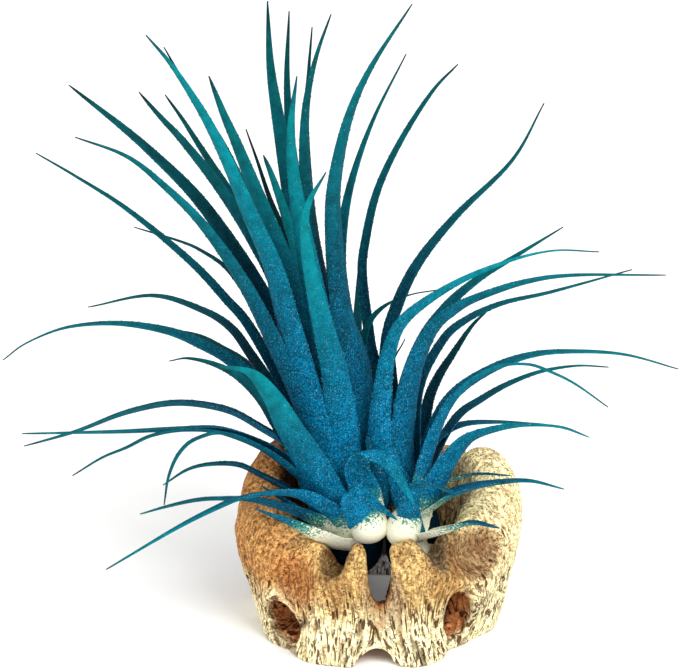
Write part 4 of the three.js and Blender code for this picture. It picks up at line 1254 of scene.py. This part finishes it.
# Slits where a second noise crosses its middle value, as long thin lines. A third noise ends them.
cracks = add(tree, "TexNoise", {"Vector": long_grain, "Scale": CRACK_PER_MM, "Detail": 1.0,
                                "Roughness": 0.4})
ends = add(tree, "TexNoise", {"Vector": grain, "Scale": ENDS_PER_MM, "Detail": 1.0})
off_middle = add(tree, "Math", {0: cracks, 1: 0.5}, operation="SUBTRACT")
off_middle = add(tree, "Math", {0: off_middle}, operation="ABSOLUTE")
crack = add(tree, "MapRange", {"Value": off_middle, "From Min": 0.045, "From Max": 0.025})
crack_here = add(tree, "MapRange", {"Value": ends, "From Min": 0.42, "From Max": 0.5})
crack_low = add(tree, "MapRange", {"Value": porous_at, "To Min": 0.3, "To Max": 1.0})
for factor in (crack_here, crack_low):
    crack = add(tree, "Math", {0: crack, 1: factor}, operation="MULTIPLY")
print("one fibre in", round(1 / FIBRE_PER_MM, 2), "mm")

# %% The wood's pores and pinholes
# Pores low on the wall, and pinholes everywhere.
pores = add(tree, "TexVoronoi", {"Vector": grain, "Scale": PORE_PER_MM})
pore = add(tree, "MapRange", {"Value": pores, "From Min": 0.38, "From Max": 0.3})
pore_chance = add(tree, "SeparateColor", {"Color": pores.outputs["Color"]})
pore_share = add(tree, "Math", {0: porous_at, 1: 0.5}, operation="MULTIPLY")
pore_here = add(tree, "Math", {0: pore_chance.outputs["Red"], 1: pore_share}, operation="LESS_THAN")
pore_mask = add(tree, "Math", {0: pore, 1: pore_here}, operation="MULTIPLY")
place = add(tree, "TexCoord").outputs["Object"]
pinholes = add(tree, "TexVoronoi", {"Vector": place, "Scale": PINHOLE_PER_MM / MM})
pinhole = add(tree, "MapRange", {"Value": pinholes, "From Min": 0.3, "From Max": 0.16})
pinhole_chance = add(tree, "SeparateColor", {"Color": pinholes.outputs["Color"]})
pinhole_here = add(tree, "Math", {0: pinhole_chance.outputs["Green"], 1: 0.5}, operation="LESS_THAN")
pinhole_mask = add(tree, "Math", {0: pinhole, 1: pinhole_here}, operation="MULTIPLY")
print("one pore in", round(1 / PORE_PER_MM, 2), "mm")

# %% The wood's worn skin and its shader
# Worn skin is mottled: a noise makes it light in some spots and brown in others, with fewer brown spots
# where the wood is porous.
mottle = add(tree, "TexNoise", {"Vector": place, "Scale": SKIN_PER_MM / MM, "Detail": 4.0,
                                "Roughness": 0.75})
dark_spot = add(tree, "MapRange", {"Value": mottle, "From Min": 0.5, "From Max": 0.38, "To Max": 1.0})
skin_share = add(tree, "MapRange", {"Value": porous_at, "To Min": 1.0, "To Max": 0.35})
dark_spot = add(tree, "Math", {0: dark_spot, 1: skin_share}, operation="MULTIPLY")
light_spot = add(tree, "MapRange", {"Value": mottle, "From Min": 0.5, "From Max": 0.62, "To Min": 1.0,
                                    "To Max": 1.7})
brown_tint = add(tree, "VectorMath", {0: tint_at, 1: (0.46, 0.28, 0.16)}, operation="MULTIPLY")
bright_tint = add(tree, "VectorMath", {0: tint_at, "Scale": light_spot}, operation="SCALE")
mottled = add(tree, "Mix", {"Factor": dark_spot, 6: bright_tint, 7: brown_tint}, data_type="RGBA")

light_fibre = add(tree, "VectorMath", {0: mottled, "Scale": fibre_light}, operation="SCALE")
dark_fibre = add(tree, "VectorMath", {0: mottled, 1: (0.5, 0.36, 0.22)}, operation="MULTIPLY")
fibred = add(tree, "Mix", {"Factor": fibre_dark, 6: light_fibre, 7: dark_fibre}, data_type="RGBA")
slit = pore_mask
for opening in (pinhole_mask, crack):
    slit = add(tree, "Math", {0: slit, 1: opening}, operation="MAXIMUM")
slit_share = add(tree, "Math", {0: slit, 1: 0.95}, operation="MULTIPLY")
slit_colour = add(tree, "VectorMath", {0: tint_at, 1: (0.13, 0.06, 0.03)}, operation="MULTIPLY")
slitted = add(tree, "Mix", {"Factor": slit_share, 6: fibred, 7: slit_colour}, data_type="RGBA")
height = add(tree, "Math", {0: fibres, 1: slit}, operation="SUBTRACT")
relief = add(tree, "Bump", {"Height": height, "Strength": 1.0, "Distance": 0.45 * MM})
give(tree, shader, {"Base Color": slitted, "Normal": relief})
give(tree, shader, {"Roughness": 0.9, "IOR": 1.5, "Specular IOR Level": 0.2})
print("wood material has", len(tree.nodes), "nodes")

# %% The wood ring
wood_values = {"grain": grain_place, "tint": tint, "porous": porous}
make_piece("wood_ring", shown_points, [wood_quads], dry_wood, wood_values, "wood_holder")

# %% [markdown]
# ## Floor and light
#
# The photograph has a bright white ground with hardly a shadow. A pale matt floor, an even white
# surrounding and two large soft lamps give that, with the brighter lamp up on the right.

# %% The floor
FLOOR_RADIUS_M = 3
FLOOR_SIDES = 96

floor_paint, tree, shader = new_material("pale_matt_floor")
give(tree, shader, {"Base Color": linear("#fdfdfc"), "Roughness": 0.9})
turns = np.linspace(0, 2 * np.pi, FLOOR_SIDES, endpoint=False)
floor_rim = np.column_stack([FLOOR_RADIUS_M * np.cos(turns), FLOOR_RADIUS_M * np.sin(turns), 0 * turns])
floor_mesh = bpy.data.meshes.new("floor")
floor_mesh.from_pydata(floor_rim, [], [list(range(FLOOR_SIDES))])
floor_mesh.materials.append(floor_paint)
floor = bpy.data.objects.new("floor", floor_mesh)
bpy.context.scene.collection.objects.link(floor)
print("floor", 2 * FLOOR_RADIUS_M, "m across")


# %% The lights
def add_lamp(name, place_at, aim_at, size, power):
    """A square soft lamp at a place in metres, turned to look at another place."""
    data = bpy.data.lights.new(name, "AREA")
    data.size = size
    data.energy = power
    lamp = bpy.data.objects.new(name, data)
    lamp.location = place_at
    away = np.array(place_at) - aim_at
    tip = math.atan2(math.hypot(away[0], away[1]), away[2])
    lamp.rotation_euler = (tip, 0, math.atan2(away[0], -away[1]))
    bpy.context.scene.collection.objects.link(lamp)


# The plant's middle, in metres, and the lamps: name, place in metres, size in metres and power in watts.
HEART_M = np.array([0, 0, 0.06])
LAMPS = [
    ("key_lamp", (0.45, -0.7, 0.9), 0.6, 11),
    ("fill_lamp", (-0.8, -0.5, 0.6), 0.6, 3),
]
for name, place_at, size, power in LAMPS:
    add_lamp(name, place_at, HEART_M, size, power)

world = bpy.data.worlds.new("white_room")
world.use_nodes = True
give(world.node_tree, world.node_tree.nodes["Background"], {"Color": linear("#ffffff"), "Strength": 0.85})
bpy.context.scene.world = world
bpy.context.scene.view_settings.view_transform = "Standard"
print("lit by", len(LAMPS), "lamps and a white room")
